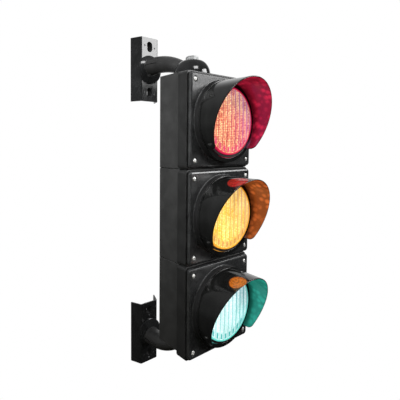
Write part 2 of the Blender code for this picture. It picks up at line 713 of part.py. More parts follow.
main()
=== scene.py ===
import math

import bmesh
import bpy
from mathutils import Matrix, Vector


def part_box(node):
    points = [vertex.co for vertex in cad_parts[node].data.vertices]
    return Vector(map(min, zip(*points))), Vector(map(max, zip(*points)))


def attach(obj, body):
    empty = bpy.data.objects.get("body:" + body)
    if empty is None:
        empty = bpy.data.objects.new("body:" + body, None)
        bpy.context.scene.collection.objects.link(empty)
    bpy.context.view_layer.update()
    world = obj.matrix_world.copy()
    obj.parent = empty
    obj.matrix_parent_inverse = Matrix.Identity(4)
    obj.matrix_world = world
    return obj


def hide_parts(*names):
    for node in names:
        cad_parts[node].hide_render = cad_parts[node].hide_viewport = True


# Looks of a three-light traffic signal head on two wall brackets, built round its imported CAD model.
# Shapes are worked out in millimetres, in the frame of the CAD model.

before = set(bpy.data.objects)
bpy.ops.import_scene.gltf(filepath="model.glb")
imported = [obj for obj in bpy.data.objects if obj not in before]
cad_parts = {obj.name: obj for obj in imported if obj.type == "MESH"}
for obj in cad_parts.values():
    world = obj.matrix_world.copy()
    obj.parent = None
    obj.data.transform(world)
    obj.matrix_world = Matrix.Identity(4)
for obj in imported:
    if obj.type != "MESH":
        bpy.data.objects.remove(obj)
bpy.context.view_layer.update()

MM = 0.001
COLOURS = ("red", "amber", "green")

# Sides given to large, middling and small round pieces, and steps round a corner and an edge.
LARGE_ROUND = 160
MIDDLE_ROUND = 72
SMALL_ROUND = 28
CORNER_STEPS = 7
EDGE_STEPS = 3


def box(node):
    """Give a CAD node's corners in millimetres."""
    low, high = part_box(node)
    return low / MM, high / MM


def middle(node, axis):
    """Give the middle of a CAD node along an axis, in millimetres."""
    low, high = box(node)
    return (low[axis] + high[axis]) / 2


# Anchors, read from the CAD model.
CENTRE_Z = {colour: middle(f"cover_{colour}", 2) for colour in COLOURS}
housing_low, housing_high = box("housing_red")
BODY_HALF_HEIGHT = (housing_high.z - housing_low.z) / 2
STACK_HALF_HEIGHT = housing_high.z
FLANGE_HALF_WIDTH = housing_high.x
FLANGE_FRONT_Y = housing_low.y
BODY_BACK_Y = housing_high.y
cover_low, cover_high = box("cover_red")
COVER_HALF = cover_high.x
COVER_BACK_Y = cover_high.y
DRUM_FRONT_Y = cover_low.y
FACE_Y = DRUM_FRONT_Y + 10.0
HUB_Y = middle("hub_cap_upper", 1)
CAP_RADIUS = box("hub_cap_upper")[1].x
PLATE_WEB_Y = box("wall_plate_upper")[0].y
PLATE_FOOT_HALF = box("wall_plate_upper")[1].x
ROOT_Z = {name: middle(f"wall_plate_{name}", 2) for name in ("upper", "lower")}

# Section bodies and covers.
GAP = 0.3
WALL = 3.0
BODY_HALF_WIDTH = 77.0
BODY_FRONT_Y = -211.0
BODY_BEND_Y = -156.0
BODY_BACK_HALF_WIDTH = 45.0
FOOT_CHAMFER = 8.0
FLANGE_BACK_Y = -207.0
STRAP_Y = -203.7
INLET_DROP = 30.0
COVER_RISE = 1.5
SCREW_OFFSET = 67.2
SCREW_HEAD_RADIUS = 3.5

# Lenses and visors.
FLUTE_PITCH = 10.6
LENS_RADIUS = 58.3
LENS_RIM_Y = FACE_Y - 17.5
LENS_CROWN = 2.5
VISOR_RADIUS = 70.0
VISOR_WALL = 2.2
VISOR_TAPER = 0.028
VISOR_REACH = 45.9
VISOR_SLOPE = 0.336
VISOR_HALF_ANGLE = math.radians(134)
VISOR_END_RADIUS = 7.0
VISOR_ROOT_Y = DRUM_FRONT_Y - GAP - 1.0

# Brackets.
PLATE_HALF_HEIGHT = 70.0
PLATE_WEB_HALF = 23.0
PLATE_THICKNESS = 3.0
SLOT_OFFSET = 50.5
COLLAR_END_Y = -9.3
ARM_ROOT_RISE = 5.5
ARM_STEPS = 44
GROOVE_STEPS = 22
CAP_TOP_Z = STACK_HALF_HEIGHT + 38.0
CAP_WALL = 2.6
HUB_ACROSS_FLATS = 22.0
HUB_HOLE = 7.2
ARM_BOLT_HOLE = 5.3


# ---------------------------------------------------------------- shape tools

def round_corners(points, radii, steps, closed=True):
    """Round the corners of a line of 2-D points; each corner gives steps + 1 points."""
    count = len(points)
    out = []
    for i, point in enumerate(points):
        here = Vector(point)
        if not closed and i in (0, count - 1):
            out.append(tuple(here))
            continue
        before = Vector(points[i - 1]) - here
        after = Vector(points[(i + 1) % count]) - here
        radius = radii[i] if isinstance(radii, (list, tuple)) else radii
        room = 0.49 * min(before.length, after.length)
        before.normalize()
        after.normalize()
        half = math.acos(max(-1.0, min(1.0, before.dot(after)))) / 2
        if radius <= 0 or abs(half - math.pi / 2) < 0.01:
            out.append(tuple(here))
            continue
        run = min(radius / math.tan(half), room)
        radius = run * math.tan(half)
        centre = here + (before + after).normalized() * (radius / math.sin(half))
        start = here + before * run - centre
        end = here + after * run - centre
        turn = math.atan2(start.x * end.y - start.y * end.x, start.dot(end))
        for step in range(steps + 1):
            angle = turn * step / steps
            c, s = math.cos(angle), math.sin(angle)
            out.append((centre.x + start.x * c - start.y * s, centre.y + start.x * s + start.y * c))
    return out


def inset_polygon(points, inset):
    """Move the sides of a counter-clockwise polygon in by a distance."""
    if inset == 0:
        return [tuple(p) for p in points]
    out = []
    count = len(points)
    for i in range(count):
        a, b, c = Vector(points[i - 1]), Vector(points[i]), Vector(points[(i + 1) % count])
        first, second = (b - a).normalized(), (c - b).normalized()
        normal_a, normal_b = Vector((-first.y, first.x)), Vector((-second.y, second.x))
        along = 1 + normal_a.dot(normal_b)
        move = (normal_a + normal_b) * (inset / max(along, 0.2))
        out.append(tuple(b + move))
    return out


def place(u, v, along, axis):
    """Turn a place in a section and a distance along an axis into world coordinates."""
    return (u, along, v) if axis == "Y" else (u, v, along)


def add_loft(bm, rings, material=0):
    """Skin a row of equal rings and cap both ends."""
    rows = [[bm.verts.new(point) for point in ring] for ring in rings]
    count = len(rows[0])
    faces = []
    for row, after in zip(rows, rows[1:]):
        for i in range(count):
            j = (i + 1) % count
            faces.append(bm.faces.new((row[i], row[j], after[j], after[i])))
    faces.append(bm.faces.new(rows[0][::-1]))
    faces.append(bm.faces.new(rows[-1]))
    for face in faces:
        face.material_index = material
    return bm


def add_prism(bm, outline, radii, ends, edge, axis="Z", steps=CORNER_STEPS, material=0):
    """Add a bar with this outline, round corners and rounded end edges."""
    start, end = ends
    way = 1 if end > start else -1
    stations = []
    for step in range(EDGE_STEPS + 1):
        angle = math.pi / 2 * step / EDGE_STEPS
        stations.append((edge * (1 - math.sin(angle)), way * edge * (1 - math.cos(angle))))
    rows = [(inset, start + move) for inset, move in stations]
    rows += [(inset, end - move) for inset, move in reversed(stations)]
    bends = radii if isinstance(radii, (list, tuple)) else [radii] * len(outline)
    rings = []
    for inset, along in rows:
        shrunk = [max(bend - inset, 0.02) if bend > 0 else 0 for bend in bends]
        ring = round_corners(inset_polygon(outline, inset), shrunk, steps)
        rings.append([place(u, v, along, axis) for u, v in ring])
    return add_loft(bm, rings, material)


def add_block(bm, low, high, edge=0.5, material=0):
    """Add a box between two corners, with rounded edges."""
    outline = [(low[0], low[1]), (high[0], low[1]), (high[0], high[1]), (low[0], high[1])]
    return add_prism(bm, outline, edge, (low[2], high[2]), edge, "Z", 3, material)


def join_rows(bm, rows, material=0):
    """Skin rows of vertices in order; a row of one vertex closes to a point."""
    for row, after in zip(rows, rows[1:]):
        count = max(len(row), len(after))
        for i in range(count):
            j = (i + 1) % count
            corners = [row[i % len(row)], row[j % len(row)], after[j % len(after)], after[i % len(after)]]
            unique = list(dict.fromkeys(corners))
            if len(unique) > 2:
                bm.faces.new(unique).material_index = material


def add_lathe(bm, profile, segments, centre, axis="Y", material=0):
    """Turn a profile of (radius, distance along the axis) points into a closed solid."""
    rows = []
    for radius, along in profile:
        count = segments if radius > 0 else 1
        row = []
        for i in range(count):
            angle = 2 * math.pi * i / segments
            u, v = centre[0] + radius * math.cos(angle), centre[1] + radius * math.sin(angle)
            row.append(bm.verts.new(place(u, v, along, axis)))
        rows.append(row)
    if profile[0][0] > 0:
        rows.append(rows[0])
    join_rows(bm, rows, material)
    return bm


def cylinder(radius, start, end):
    """Give the profile of a plain cylinder for add_lathe."""
    return ((0, start), (radius, start), (radius, end), (0, end))


def rectangle(half_width, half_height, centre=(0.0, 0.0)):
    """List the corners of a rectangle, counter-clockwise."""
    x, y = centre
    return [(x + half_width, y + half_height), (x - half_width, y + half_height),
            (x - half_width, y - half_height), (x + half_width, y - half_height)]


def hexagon(across_flats, centre=(0.0, 0.0)):
    """List the corners of a hexagon, counter-clockwise."""
    radius = across_flats / math.sqrt(3)
    return [(centre[0] + radius * math.cos(math.pi * i / 3), centre[1] + radius * math.sin(math.pi * i / 3))
            for i in range(6)]


def new_object(name, bm):
    """Turn a bmesh in millimetres into an object at the origin."""
    bmesh.ops.remove_doubles(bm, verts=bm.verts, dist=0.0004)
    bmesh.ops.recalc_face_normals(bm, faces=bm.faces)
    bmesh.ops.scale(bm, vec=(MM, MM, MM), verts=bm.verts)
    mesh = bpy.data.meshes.new(name)
    bm.to_mesh(mesh)
    bm.free()
    item = bpy.data.objects.new(name, mesh)
    bpy.context.scene.collection.objects.link(item)
    return item


def carve(item, operation, bm):
    """Join the solid in a bmesh to an object, or cut it out of it, for good."""
    tool = new_object("tool", bm)
    modifier = item.modifiers.new("carve", "BOOLEAN")
    modifier.operation = operation
    modifier.solver = "EXACT"
    modifier.object = tool
    bpy.context.view_layer.update()
    evaluated = item.evaluated_get(bpy.context.evaluated_depsgraph_get())
    mesh = bpy.data.meshes.new_from_object(evaluated)
    item.modifiers.clear()
    old = item.data
    item.data = mesh
    bpy.data.meshes.remove(old)
    tool_mesh = tool.data
    bpy.data.objects.remove(tool)
    bpy.data.meshes.remove(tool_mesh)


def finish_piece(item, body, node, slot, *materials, sharp=32):
    """Shade a piece, give it its finish, and let it ride on its body in place of its CAD node."""
    mesh = item.data
    mesh.materials.clear()
    for material in materials:
        mesh.materials.append(material)
    mesh.shade_smooth()
    mesh.set_sharp_from_angle(angle=math.radians(sharp))
    weighted = item.modifiers.new("weighted", "WEIGHTED_NORMAL")
    weighted.keep_sharp = True
    weighted.weight = 90
    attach(item, body)
    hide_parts(node)


# ---------------------------------------------------------------- materials

class Nodes:
    """Shader nodes in a tree; each method adds one and gives its output."""

    def __init__(self, tree):
        self.tree = tree
        self.place = None

    def put(self, socket, value):
        """Link an output to a socket, or set the socket's plain value."""
        if isinstance(value, bpy.types.NodeSocket):
            self.tree.links.new(value, socket)
        elif isinstance(value, (tuple, list)) and len(value) == 3 and len(socket.default_value) == 4:
            socket.default_value = (*value, 1.0)
        else:
            socket.default_value = value

    def add(self, kind, inputs=(), **settings):
        """Add a node of a kind, with its settings and (socket, value) inputs."""
        node = self.tree.nodes.new(f"ShaderNode{kind}")
        for key, value in settings.items():
            setattr(node, key, value)
        for key, value in inputs:
            self.put(node.inputs[key], value)
        return node

    def maths(self, operation, *values):
        """Do a sum on numbers or outputs."""
        return self.add("Math", enumerate(values), operation=operation).outputs[0]

    def plus(self, first, second):
        """Add two numbers."""
        return self.maths("ADD", first, second)

    def times(self, first, second):
        """Multiply two numbers."""
        return self.maths("MULTIPLY", first, second)

    def axes(self):
        """Give the x, y and z outputs of the place."""
        return self.add("SeparateXYZ", [(0, self.place)]).outputs

    def stretch(self, x, y, z):
        """Give the place, stretched along each axis."""
        return self.add("VectorMath", [(0, self.place), (1, (x, y, z))], operation="MULTIPLY").outputs[0]

    def toward(self, direction):
        """Give how far the place lies toward a direction, from -1 to 1 for a way into the world."""
        sides = [(0, self.place), (1, Vector(direction).normalized())]
        return self.add("VectorMath", sides, operation="DOT_PRODUCT").outputs["Value"]

    def noise(self, scale, detail=2.0, rough=0.5, where=None):
        """Give a noise from 0 to 1, in features of 1 / scale metres."""
        inputs = [("Vector", where or self.place), ("Scale", scale), ("Detail", detail), ("Roughness", rough)]
        return self.add("TexNoise", inputs).outputs["Fac"]

    def cells(self, where, randomness=1.0):
        """Give the distance to the nearest of scattered points."""
        inputs = [("Vector", where), ("Scale", 1.0), ("Randomness", randomness)]
        return self.add("TexVoronoi", inputs).outputs["Distance"]

    def span(self, value, low, high, to_low=0.0, to_high=1.0):
        """Map a range smoothly onto another."""
        names = ("Value", "From Min", "From Max", "To Min", "To Max")
        inputs = zip(names, (value, low, high, to_low, to_high))
        return self.add("MapRange", inputs, interpolation_type="SMOOTHSTEP").outputs["Result"]

    def mix(self, share, first, second):
        """Mix two colours."""
        return self.add("Mix", [(0, share), (6, first), (7, second)], data_type="RGBA").outputs[2]

    def scaled(self, colour, factor):
        """Multiply a colour by a number."""
        return self.add("VectorMath", [(0, colour), ("Scale", factor)], operation="SCALE").outputs[0]

    def bump(self, height, distance, strength):
        """Give a normal bent by a height."""
        inputs = [("Strength", strength), ("Distance", distance), ("Height", height)]
        return self.add("Bump", inputs).outputs["Normal"]


class Finish(Nodes):
    """A material made of nodes round one Principled shader; its constants go on the shader."""

    def __init__(self, name, base, **constants):
        self.material = bpy.data.materials.new(name)
        self.material.use_nodes = True
        super().__init__(self.material.node_tree)
        self.shader = self.tree.nodes["Principled BSDF"]
        self.set(Base_Color=base, **constants)
        self.place = self.add("TexCoord").outputs["Object"]

    def set(self, **values):
        """Set or link the shader's own sockets."""
        for key, value in values.items():
            self.put(self.shader.inputs[key.replace("_", " ")], value)
        return self.material


def shade(colour, factor):
    """Make a colour lighter or darker."""
    return tuple(part * factor for part in colour)


def moulded_plastic(name, base, roughness, grain, depth):
    """Black moulded plastic with a fine spark-eroded grain, faint mottling and pale scuffs."""
    f = Finish(name, base)
    mottle = f.noise(38, 3, 0.6)
    fine = f.noise(grain, 2, 0.6)
    pits = f.cells(f.stretch(*[grain * 0.9] * 3))
    colour = f.mix(f.span(mottle, 0.3, 0.75), shade(base, 0.82), shade(base, 1.2))
    scuffs = f.times(f.span(f.noise(150, 4, 0.75), 0.66, 0.8), f.span(f.noise(22, 2), 0.5, 0.7, 0.0, 0.5))
    colour = f.mix(scuffs, colour, (0.05, 0.05, 0.048))
    rough = f.plus(f.span(mottle, 0.2, 0.8, roughness - 0.05, roughness + 0.05),
                   f.span(fine, 0.3, 0.7, -0.03, 0.05))
    normal = f.bump(f.plus(fine, f.times(pits, 0.5)), depth, 0.7)
    return f.set(Base_Color=colour, Roughness=rough, Normal=normal)


def gloss_plastic(name, base, roughness, haze, spill=None):
    """Polished black plastic: faint flow waves, a few fine smears and specks of dust.

    spill is (section centre, tint, depth, reach): light from the section above on top of a visor.
    """
    f = Finish(name, base)
    smear = f.noise(30, 3, 0.6, f.stretch(1, 2.5, 0.7))
    specks = f.span(f.cells(f.stretch(420, 420, 420)), 0.05, 0.10, 1.0, 0.0)
    specks = f.times(specks, f.span(f.noise(60, 2), 0.55, 0.72))
    colour = f.mix(f.span(smear, 0.3, 0.8), shade(base, 0.8), shade(base, 1.3))
    colour = f.mix(specks, colour, (0.06, 0.06, 0.058))
    rough = f.plus(f.span(smear, 0.35, 0.8, roughness, roughness + haze), f.times(specks, 0.3))
    normal = f.bump(f.noise(26, 2), 0.0001, 0.25)
    if spill:
        z_centre, tint, depth, reach = spill
        x, y, z = f.axes()
        u = f.maths("DIVIDE", f.plus(x, 0.022), reach * MM)
        v = f.maths("DIVIDE", f.maths("SUBTRACT", y, depth * MM), reach * MM)
        away = f.plus(f.times(u, u), f.times(v, v))
        above = f.span(z, (z_centre + 40) * MM, (z_centre + 45) * MM)
        share = f.times(f.span(away, 0.75, 1.05, 1.0, 0.0), above)
        grain = f.span(f.noise(330, 2, 0.7), 0.35, 0.65, 0.35, 1.1)
        f.set(Emission_Color=f.mix(f.times(share, grain), (0.0, 0.0, 0.0), tint), Emission_Strength=1.0)
    return f.set(Base_Color=colour, Roughness=rough, Normal=normal)


def lit_wall(name, base, glow, tint, spot):
    """Inner side of a visor: glossy plastic with painted lens light (tinted colour and gloss, a glow) and
    round painted LED reflections this bright.
    """
    f = Finish(name, base, IOR=1.75, Specular_Tint=tint)
    haze = f.noise(34, 3, 0.6)
    # Round spots of painted light: reflections of the lens's LEDs.
    spots = f.span(f.cells(f.stretch(1 / 0.012, 1 / 0.012, 1 / 0.010), 0.85), 0.18, 0.62, 1.0, 0.0)
    spots = f.times(spots, f.span(haze, 0.35, 0.6, 0.25, 1.0))
    light = f.mix(spots, shade(glow, 0.75), shade(glow, spot))
    # The painted glow weakens toward the visor's root.
    light = f.scaled(light, f.span(f.axes()[1], -0.264, -0.249, 1.0, 0.3))
    return f.set(Base_Color=f.mix(haze, shade(base, 0.8), base), Emission_Color=light, Emission_Strength=1.0,
                 Roughness=f.span(haze, 0.25, 0.8, 0.18, 0.32), Normal=f.bump(f.noise(60, 2), 0.00012, 0.3))


def coated_metal(name, base, roughness, peel):
    """Stove-enamelled steel: orange peel, slight tone changes and a few worn spots."""
    f = Finish(name, base)
    tone = f.noise(45, 3, 0.6)
    worn = f.span(f.noise(95, 5, 0.8), 0.68, 0.8, 0.0, 0.7)
    colour = f.mix(f.span(tone, 0.3, 0.75), shade(base, 0.8), shade(base, 1.25))
    colour = f.mix(worn, colour, (0.09, 0.088, 0.084))
    rough = f.span(tone, 0.25, 0.8, roughness - 0.02, roughness + 0.03)
    return f.set(Base_Color=colour, Roughness=rough, Normal=f.bump(f.noise(420, 2, 0.5), peel, 0.6))


def bright_metal(name, base, roughness, grain, metallic=1.0):
    """Bright plated metal with fine tool marks; lightly oxidised plating is less than fully metallic."""
    f = Finish(name, base, Metallic=metallic)
    marks = f.noise(900, 3, 0.6, f.stretch(1, 1, grain))
    colour = f.mix(f.span(f.noise(160, 3, 0.6), 0.35, 0.75), shade(base, 0.78), base)
    rough = f.span(marks, 0.3, 0.75, roughness - 0.06, roughness + 0.1)
    return f.set(Base_Color=colour, Roughness=rough, Normal=f.bump(marks, 0.00002, 0.4))


def soft_rubber(name, base):
    """Dull black rubber with a dusty bloom."""
    f = Finish(name, base)
    bloom = f.noise(120, 4, 0.7)
    colour = f.mix(f.span(bloom, 0.4, 0.8), base, shade(base, 2.2))
    return f.set(Base_Color=colour, Roughness=f.span(bloom, 0.3, 0.8, 0.7, 0.92),
                 Normal=f.bump(f.noise(1100, 2), 0.00008, 0.5))


def pale_plastic(name, base, roughness):
    """Light moulded plastic with slight flow marks."""
    f = Finish(name, base)
    flow = f.noise(60, 3, 0.6, f.stretch(1, 1, 0.4))
    colour = f.mix(f.span(flow, 0.3, 0.75), shade(base, 0.86), base)
    return f.set(Base_Color=colour, Roughness=f.span(flow, 0.3, 0.8, roughness - 0.06, roughness + 0.08),
                 Normal=f.bump(f.noise(1000, 2), 0.00006, 0.5))


def circuit_board(name, base):
    """Solder-masked board, with its copper tracks showing faintly."""
    f = Finish(name, base, Coat_Weight=0.3, Coat_Roughness=0.15)
    x, _, z = f.axes()
    lines = []
    for axis, pitch in ((x, 0.0036), (z, 0.0052)):
        wave = f.maths("ABSOLUTE", f.maths("SUBTRACT", f.maths("FRACT", f.maths("DIVIDE", axis, pitch)), 0.5))
        lines.append(f.span(wave, 0.10, 0.16, 1.0, 0.0))
    area = f.span(f.noise(75, 0), 0.48, 0.52)
    tracks = f.plus(f.times(lines[0], area), f.times(lines[1], f.maths("SUBTRACT", 1.0, area)))
    return f.set(Base_Color=f.mix(tracks, base, shade(base, 1.9)), Roughness=f.span(tracks, 0, 1, 0.45, 0.32),
                 Normal=f.bump(tracks, 0.00004, 0.6))


def lit_lens(name, z_centre, tint, shades):
    """Lit fluted lens: grainy columns of LED light, with pale bands between them.

    shades holds the columns' colour on the left and on the right, the beads of light in them, the
    bands on the left and on the right, the dashes at the foot of the columns, and the rim.
    """
    left, right, bead, band_left, band_right, foot, rim = shades
    f = Finish(name, tint, Roughness=0.16, IOR=1.49)
    x, _, z = f.axes()
    z = f.maths("SUBTRACT", z, z_centre * MM)
    wobble = f.times(f.maths("SUBTRACT", f.noise(70, 2), 0.5), 0.12)
    turns = f.plus(f.maths("DIVIDE", x, FLUTE_PITCH * MM), wobble)
    wave = f.maths("COSINE", f.times(turns, 2 * math.pi))
    across = f.span(f.plus(x, f.times(z, 0.25)), -0.025, 0.050)

    # Columns with beads of light in them.
    soft = f.noise(60, 3, 0.6, f.stretch(1.0, 0, 0.5))
    plain = f.mix(across, left, right)
    column = f.mix(f.span(soft, 0.3, 0.7), plain, f.mix(0.25, plain, bead))
    beads = f.cells(f.stretch(1 / 0.0035, 0, 1 / 0.0029), 0.35)
    dots = f.times(f.span(beads, 0.20, 0.48, 1.0, 0.0), f.span(soft, 0.25, 0.6, 0.35, 1.0))
    dots = f.times(dots, f.span(across, 0.3, 1.0, 1.0, 0.6))
    colour = f.mix(dots, column, bead)

    # Pale bands between them.
    grain = f.span(f.noise(380, 2, 0.7, f.stretch(1, 0, 0.8)), 0.3, 0.7)
    share = f.plus(f.span(across, 0.0, 1.0, 0.45, 0.75), f.times(grain, 0.25))
    colour = f.mix(f.times(f.span(wave, 0.25, 0.8), share), colour, f.mix(across, band_left, band_right))

    # Dashes near the lower rim, and the rim.
    radius = f.maths("SQRT", f.plus(f.times(x, x), f.times(z, z)))
    low = f.times(f.span(radius, 0.0430, 0.0465), f.span(radius, 0.0535, 0.0550, 1.0, 0.0))
    low = f.times(low, f.span(z, -0.034, -0.022, 1.0, 0.0))
    dash = f.times(low, f.span(wave, -0.5, 0.2, 1.0, 0.0))
    colour = f.mix(f.times(dash, f.span(grain, 0.0, 1.0, 0.75, 1.0)), colour, foot)
    colour = f.mix(f.span(radius, 0.0548, 0.0560), colour, rim)
    glow = f.scaled(colour, f.span(f.noise(28, 2, 0.5), 0.3, 0.7, 0.85, 1.15))
    return f.set(Emission_Color=glow, Emission_Strength=1.0)


def lit_led(name, tint):
    """Small lit LED lens with an uneven glow."""
    f = Finish(name, tuple(0.4 * part + 0.1 for part in tint), Roughness=0.12)
    glow = f.mix(f.span(f.noise(700, 1), 0.3, 0.7), shade(tint, 0.6), tint)
    return f.set(Emission_Color=glow, Emission_Strength=2.0)


housing_plastic = moulded_plastic("housing_plastic", (0.022, 0.0222, 0.0222), 0.44, 1500, 0.00003)
# A darker copy of the housing plastic for the flange's faces: painted shade.
flange_painted_shade = moulded_plastic("flange_painted_shade", (0.012, 0.0122, 0.0122), 0.40, 1500, 0.00003)
cover_plastic = moulded_plastic("cover_plastic", (0.021, 0.0216, 0.0222), 0.27, 1300, 0.00001)
# A darker, duller copy of the cover plastic: painted shade on the cover's drum, and the colour of the lens
# rings.
ring_black_and_drum_shade = moulded_plastic("ring_black_and_drum_shade", (0.007, 0.007, 0.0072), 0.6, 1300, 0.00003)
cap_plastic = gloss_plastic("cap_plastic", (0.008, 0.0083, 0.0085), 0.10, 0.06)
seal_rubber = soft_rubber("seal_rubber", (0.004, 0.004, 0.004))
stainless_steel = bright_metal("stainless_steel", (0.92, 0.92, 0.90), 0.30, 1.0, 0.35)
zinc_steel = bright_metal("zinc_steel", (0.31, 0.315, 0.315), 0.46, 0.3, 0.35)
brass = bright_metal("brass", (0.72, 0.52, 0.22), 0.28, 0.4)
coated_steel = coated_metal("coated_steel", (0.012, 0.0124, 0.013), 0.12, 0.000003)
bracket_coating = coated_metal("bracket_coating", (0.024, 0.024, 0.0242), 0.42, 0.00003)
carrier_plastic = pale_plastic("carrier_plastic", (0.55, 0.56, 0.54), 0.45)
coupling_nylon = pale_plastic("coupling_nylon", (0.46, 0.47, 0.45), 0.5)
board_green = circuit_board("board_green", (0.015, 0.09, 0.035))
board_white = circuit_board("board_white", (0.35, 0.36, 0.35))
part_black = moulded_plastic("part_black", (0.015, 0.015, 0.016), 0.4, 900, 0.00005)
part_blue = pale_plastic("part_blue", (0.03, 0.06, 0.25), 0.35)

SPILLS = {
    "red": None,
    "amber": (CENTRE_Z["amber"], (0.46, 0.016, 0.008), -288.0, 17.0),
    "green": (CENTRE_Z["green"], (0.56, 0.13, 0.006), -291.0, 14.5),
}
VISOR_PLASTICS = {colour: gloss_plastic(f"visor_plastic_{colour}", (0.006, 0.0062, 0.0061), 0.08, 0.04, spill)
                  for colour, spill in SPILLS.items()}
LENSES = {
    "red": lit_lens("lens_red_lit", CENTRE_Z["red"], (0.4, 0.02, 0.04), (
        (0.37, 0.05, 0.024), (0.32, 0.035, 0.15), (1.6, 1.2, 0.6), (0.20, 0.05, 0.05), (0.38, 0.18, 0.38),
        (0.50, 0.035, 0.16), (0.40, 0.008, 0.05))),
    "amber": lit_lens("lens_amber_lit", CENTRE_Z["amber"], (0.5, 0.25, 0.02), (
        (0.84, 0.48, 0.025), (0.78, 0.43, 0.07), (1.3, 1.15, 0.55), (0.55, 0.30, 0.08), (0.55, 0.33, 0.22),
        (0.40, 0.18, 0.095), (0.72, 0.30, 0.035))),
    "green": lit_lens("lens_green_lit", CENTRE_Z["green"], (0.02, 0.40, 0.32), (
        (0.64, 0.73, 0.78), (0.36, 0.54, 0.59), (1.25, 1.3, 1.3), (0.23, 0.38, 0.42), (0.15, 0.33, 0.37),
        (0.012, 0.22, 0.25), (0.14, 0.48, 0.44))),
}
# Base colours tinted with painted lens light; the visor plastic itself is black.
LIT_WALLS = {
    "red": lit_wall("visor_inner_red", (0.070, 0.005, 0.016), (0.215, 0.006, 0.019), (1.0, 0.18, 0.8), 2.4),
    "amber": lit_wall("visor_inner_amber", (0.06, 0.022, 0.006), (0.215, 0.046, 0.01), (1.0, 0.42, 0.35), 2.6),
    "green": lit_wall("visor_inner_green", (0.008, 0.06, 0.048), (0.015, 0.19, 0.145), (0.22, 1.0, 0.9), 1.5),
}
LIT_LEDS = {
    "red": lit_led("led_red", (1.0, 0.02, 0.03)),
    "amber": lit_led("led_amber", (1.0, 0.32, 0.01)),
    "green": lit_led("led_green", (0.02, 1.0, 0.55)),
}


# ---------------------------------------------------------------- the three sections

def corner_places(z_centre):
    """List the centres of a section's four cover screws."""
    return [(sx * SCREW_OFFSET, z_centre + sz * SCREW_OFFSET) for sz in (1, -1) for sx in (-1, 1)]


def body_rings(z_centre, wall, foot, front_y):
    """Give a section body's outlines from top to bottom; a foot above 0 slants its sides and back in."""
    half = [(BODY_HALF_WIDTH, BODY_FRONT_Y), (BODY_HALF_WIDTH, BODY_BEND_Y),
            (BODY_BACK_HALF_WIDTH, BODY_BACK_Y)]
    outer = [(-BODY_HALF_WIDTH, BODY_FRONT_Y)] + half + [(-x, y) for x, y in half[:0:-1]]
    top = BODY_HALF_HEIGHT - 0.15 - wall
    turns = [math.pi / 2 * step / EDGE_STEPS for step in range(EDGE_STEPS + 1)]
    rows = [(1 - math.sin(turn), top - 1 + math.cos(turn)) for turn in turns]
    if foot:
        rows += [(0.0, foot + 0.5 - top), (0.5, foot - 0.5 - top), (foot - 0.5, 0.5 - top),
                 (foot + 0.3, -top)]
    else:
        rows += [(inset, -z) for inset, z in reversed(rows)]
    rings = []
    for inset, z in rows:
        points = inset_polygon(outer, wall + inset)
        points[0], points[1] = (points[0][0], front_y), (points[1][0], front_y)
        bends = [0, 0] + [max(3.0 - wall / 3 - inset, 0.8)] * 4
        rings.append([(x, y, z_centre + z) for x, y in round_corners(points, bends, CORNER_STEPS)])
    return rings


def make_housing(colour):
    """Make one section's body: open front, stepped flange, screw bosses and strap ledges."""
    zc = CENTRE_Z[colour]
    foot = FOOT_CHAMFER if colour == "green" else 0.0
    item = new_object(f"{colour}_housing", add_loft(bmesh.new(), body_rings(zc, 0.0, foot, BODY_FRONT_Y)))

    bm = bmesh.new()
    flange = rectangle(FLANGE_HALF_WIDTH, BODY_HALF_HEIGHT, (0, zc))
    add_prism(bm, flange, 7.0, (FLANGE_FRONT_Y, FLANGE_BACK_Y), 1.1, "Y")
    carve(item, "UNION", bm)

    bm = bmesh.new()
    add_loft(bm, body_rings(zc, WALL, foot and foot - 1.76, FLANGE_FRONT_Y - 5))
    carve(item, "DIFFERENCE", bm)

    bm = bmesh.new()
    buried_x = BODY_HALF_WIDTH - WALL / 2
    for x, z in corner_places(zc):
        side = math.copysign(1, x)
        xs = sorted((x - side * 5, side * buried_x))
        add_block(bm, (xs[0], FLANGE_FRONT_Y, z - 5), (xs[1], -196, z + 5), 0.8)
    for side in (-1, 1):
        xs = sorted((side * 64, side * buried_x))
        add_block(bm, (xs[0], STRAP_Y, zc - 12), (xs[1], STRAP_Y + 14, zc + 12), 0.8)
    carve(item, "UNION", bm)

    bm = bmesh.new()
    mouth, hole_end = FLANGE_FRONT_Y - 2, FLANGE_BACK_Y - 1.5
    screw_hole = ((0, mouth), (3.0, mouth), (3.0, FLANGE_FRONT_Y), (2.4, FLANGE_FRONT_Y + 0.6),
                  (2.4, hole_end), (0, hole_end))
    for screw_place in corner_places(zc):
        add_lathe(bm, screw_hole, SMALL_ROUND, screw_place)
    for end in (1, -1):
        wall_z = zc + end * BODY_HALF_HEIGHT
        radius = 7.4 if abs(wall_z) > STACK_HALF_HEIGHT - 1 else 13.0
        add_lathe(bm, cylinder(radius, wall_z - 6, wall_z + 6), MIDDLE_ROUND, (0, HUB_Y), "Z")
    if colour == "green":
        add_lathe(bm, cylinder(10, BODY_BACK_Y - 8, BODY_BACK_Y + 5), MIDDLE_ROUND, (0, zc - INLET_DROP))
    carve(item, "DIFFERENCE", bm)
    finish_piece(item, "head", f"housing_{colour}", "housing_plastic", housing_plastic, flange_painted_shade)
    # Faces ahead of the flange's back take the darker copy: painted shade.
    for face in item.data.polygons:
        face.material_index = int(face.center.y < (FLANGE_BACK_Y + 0.2) * MM)


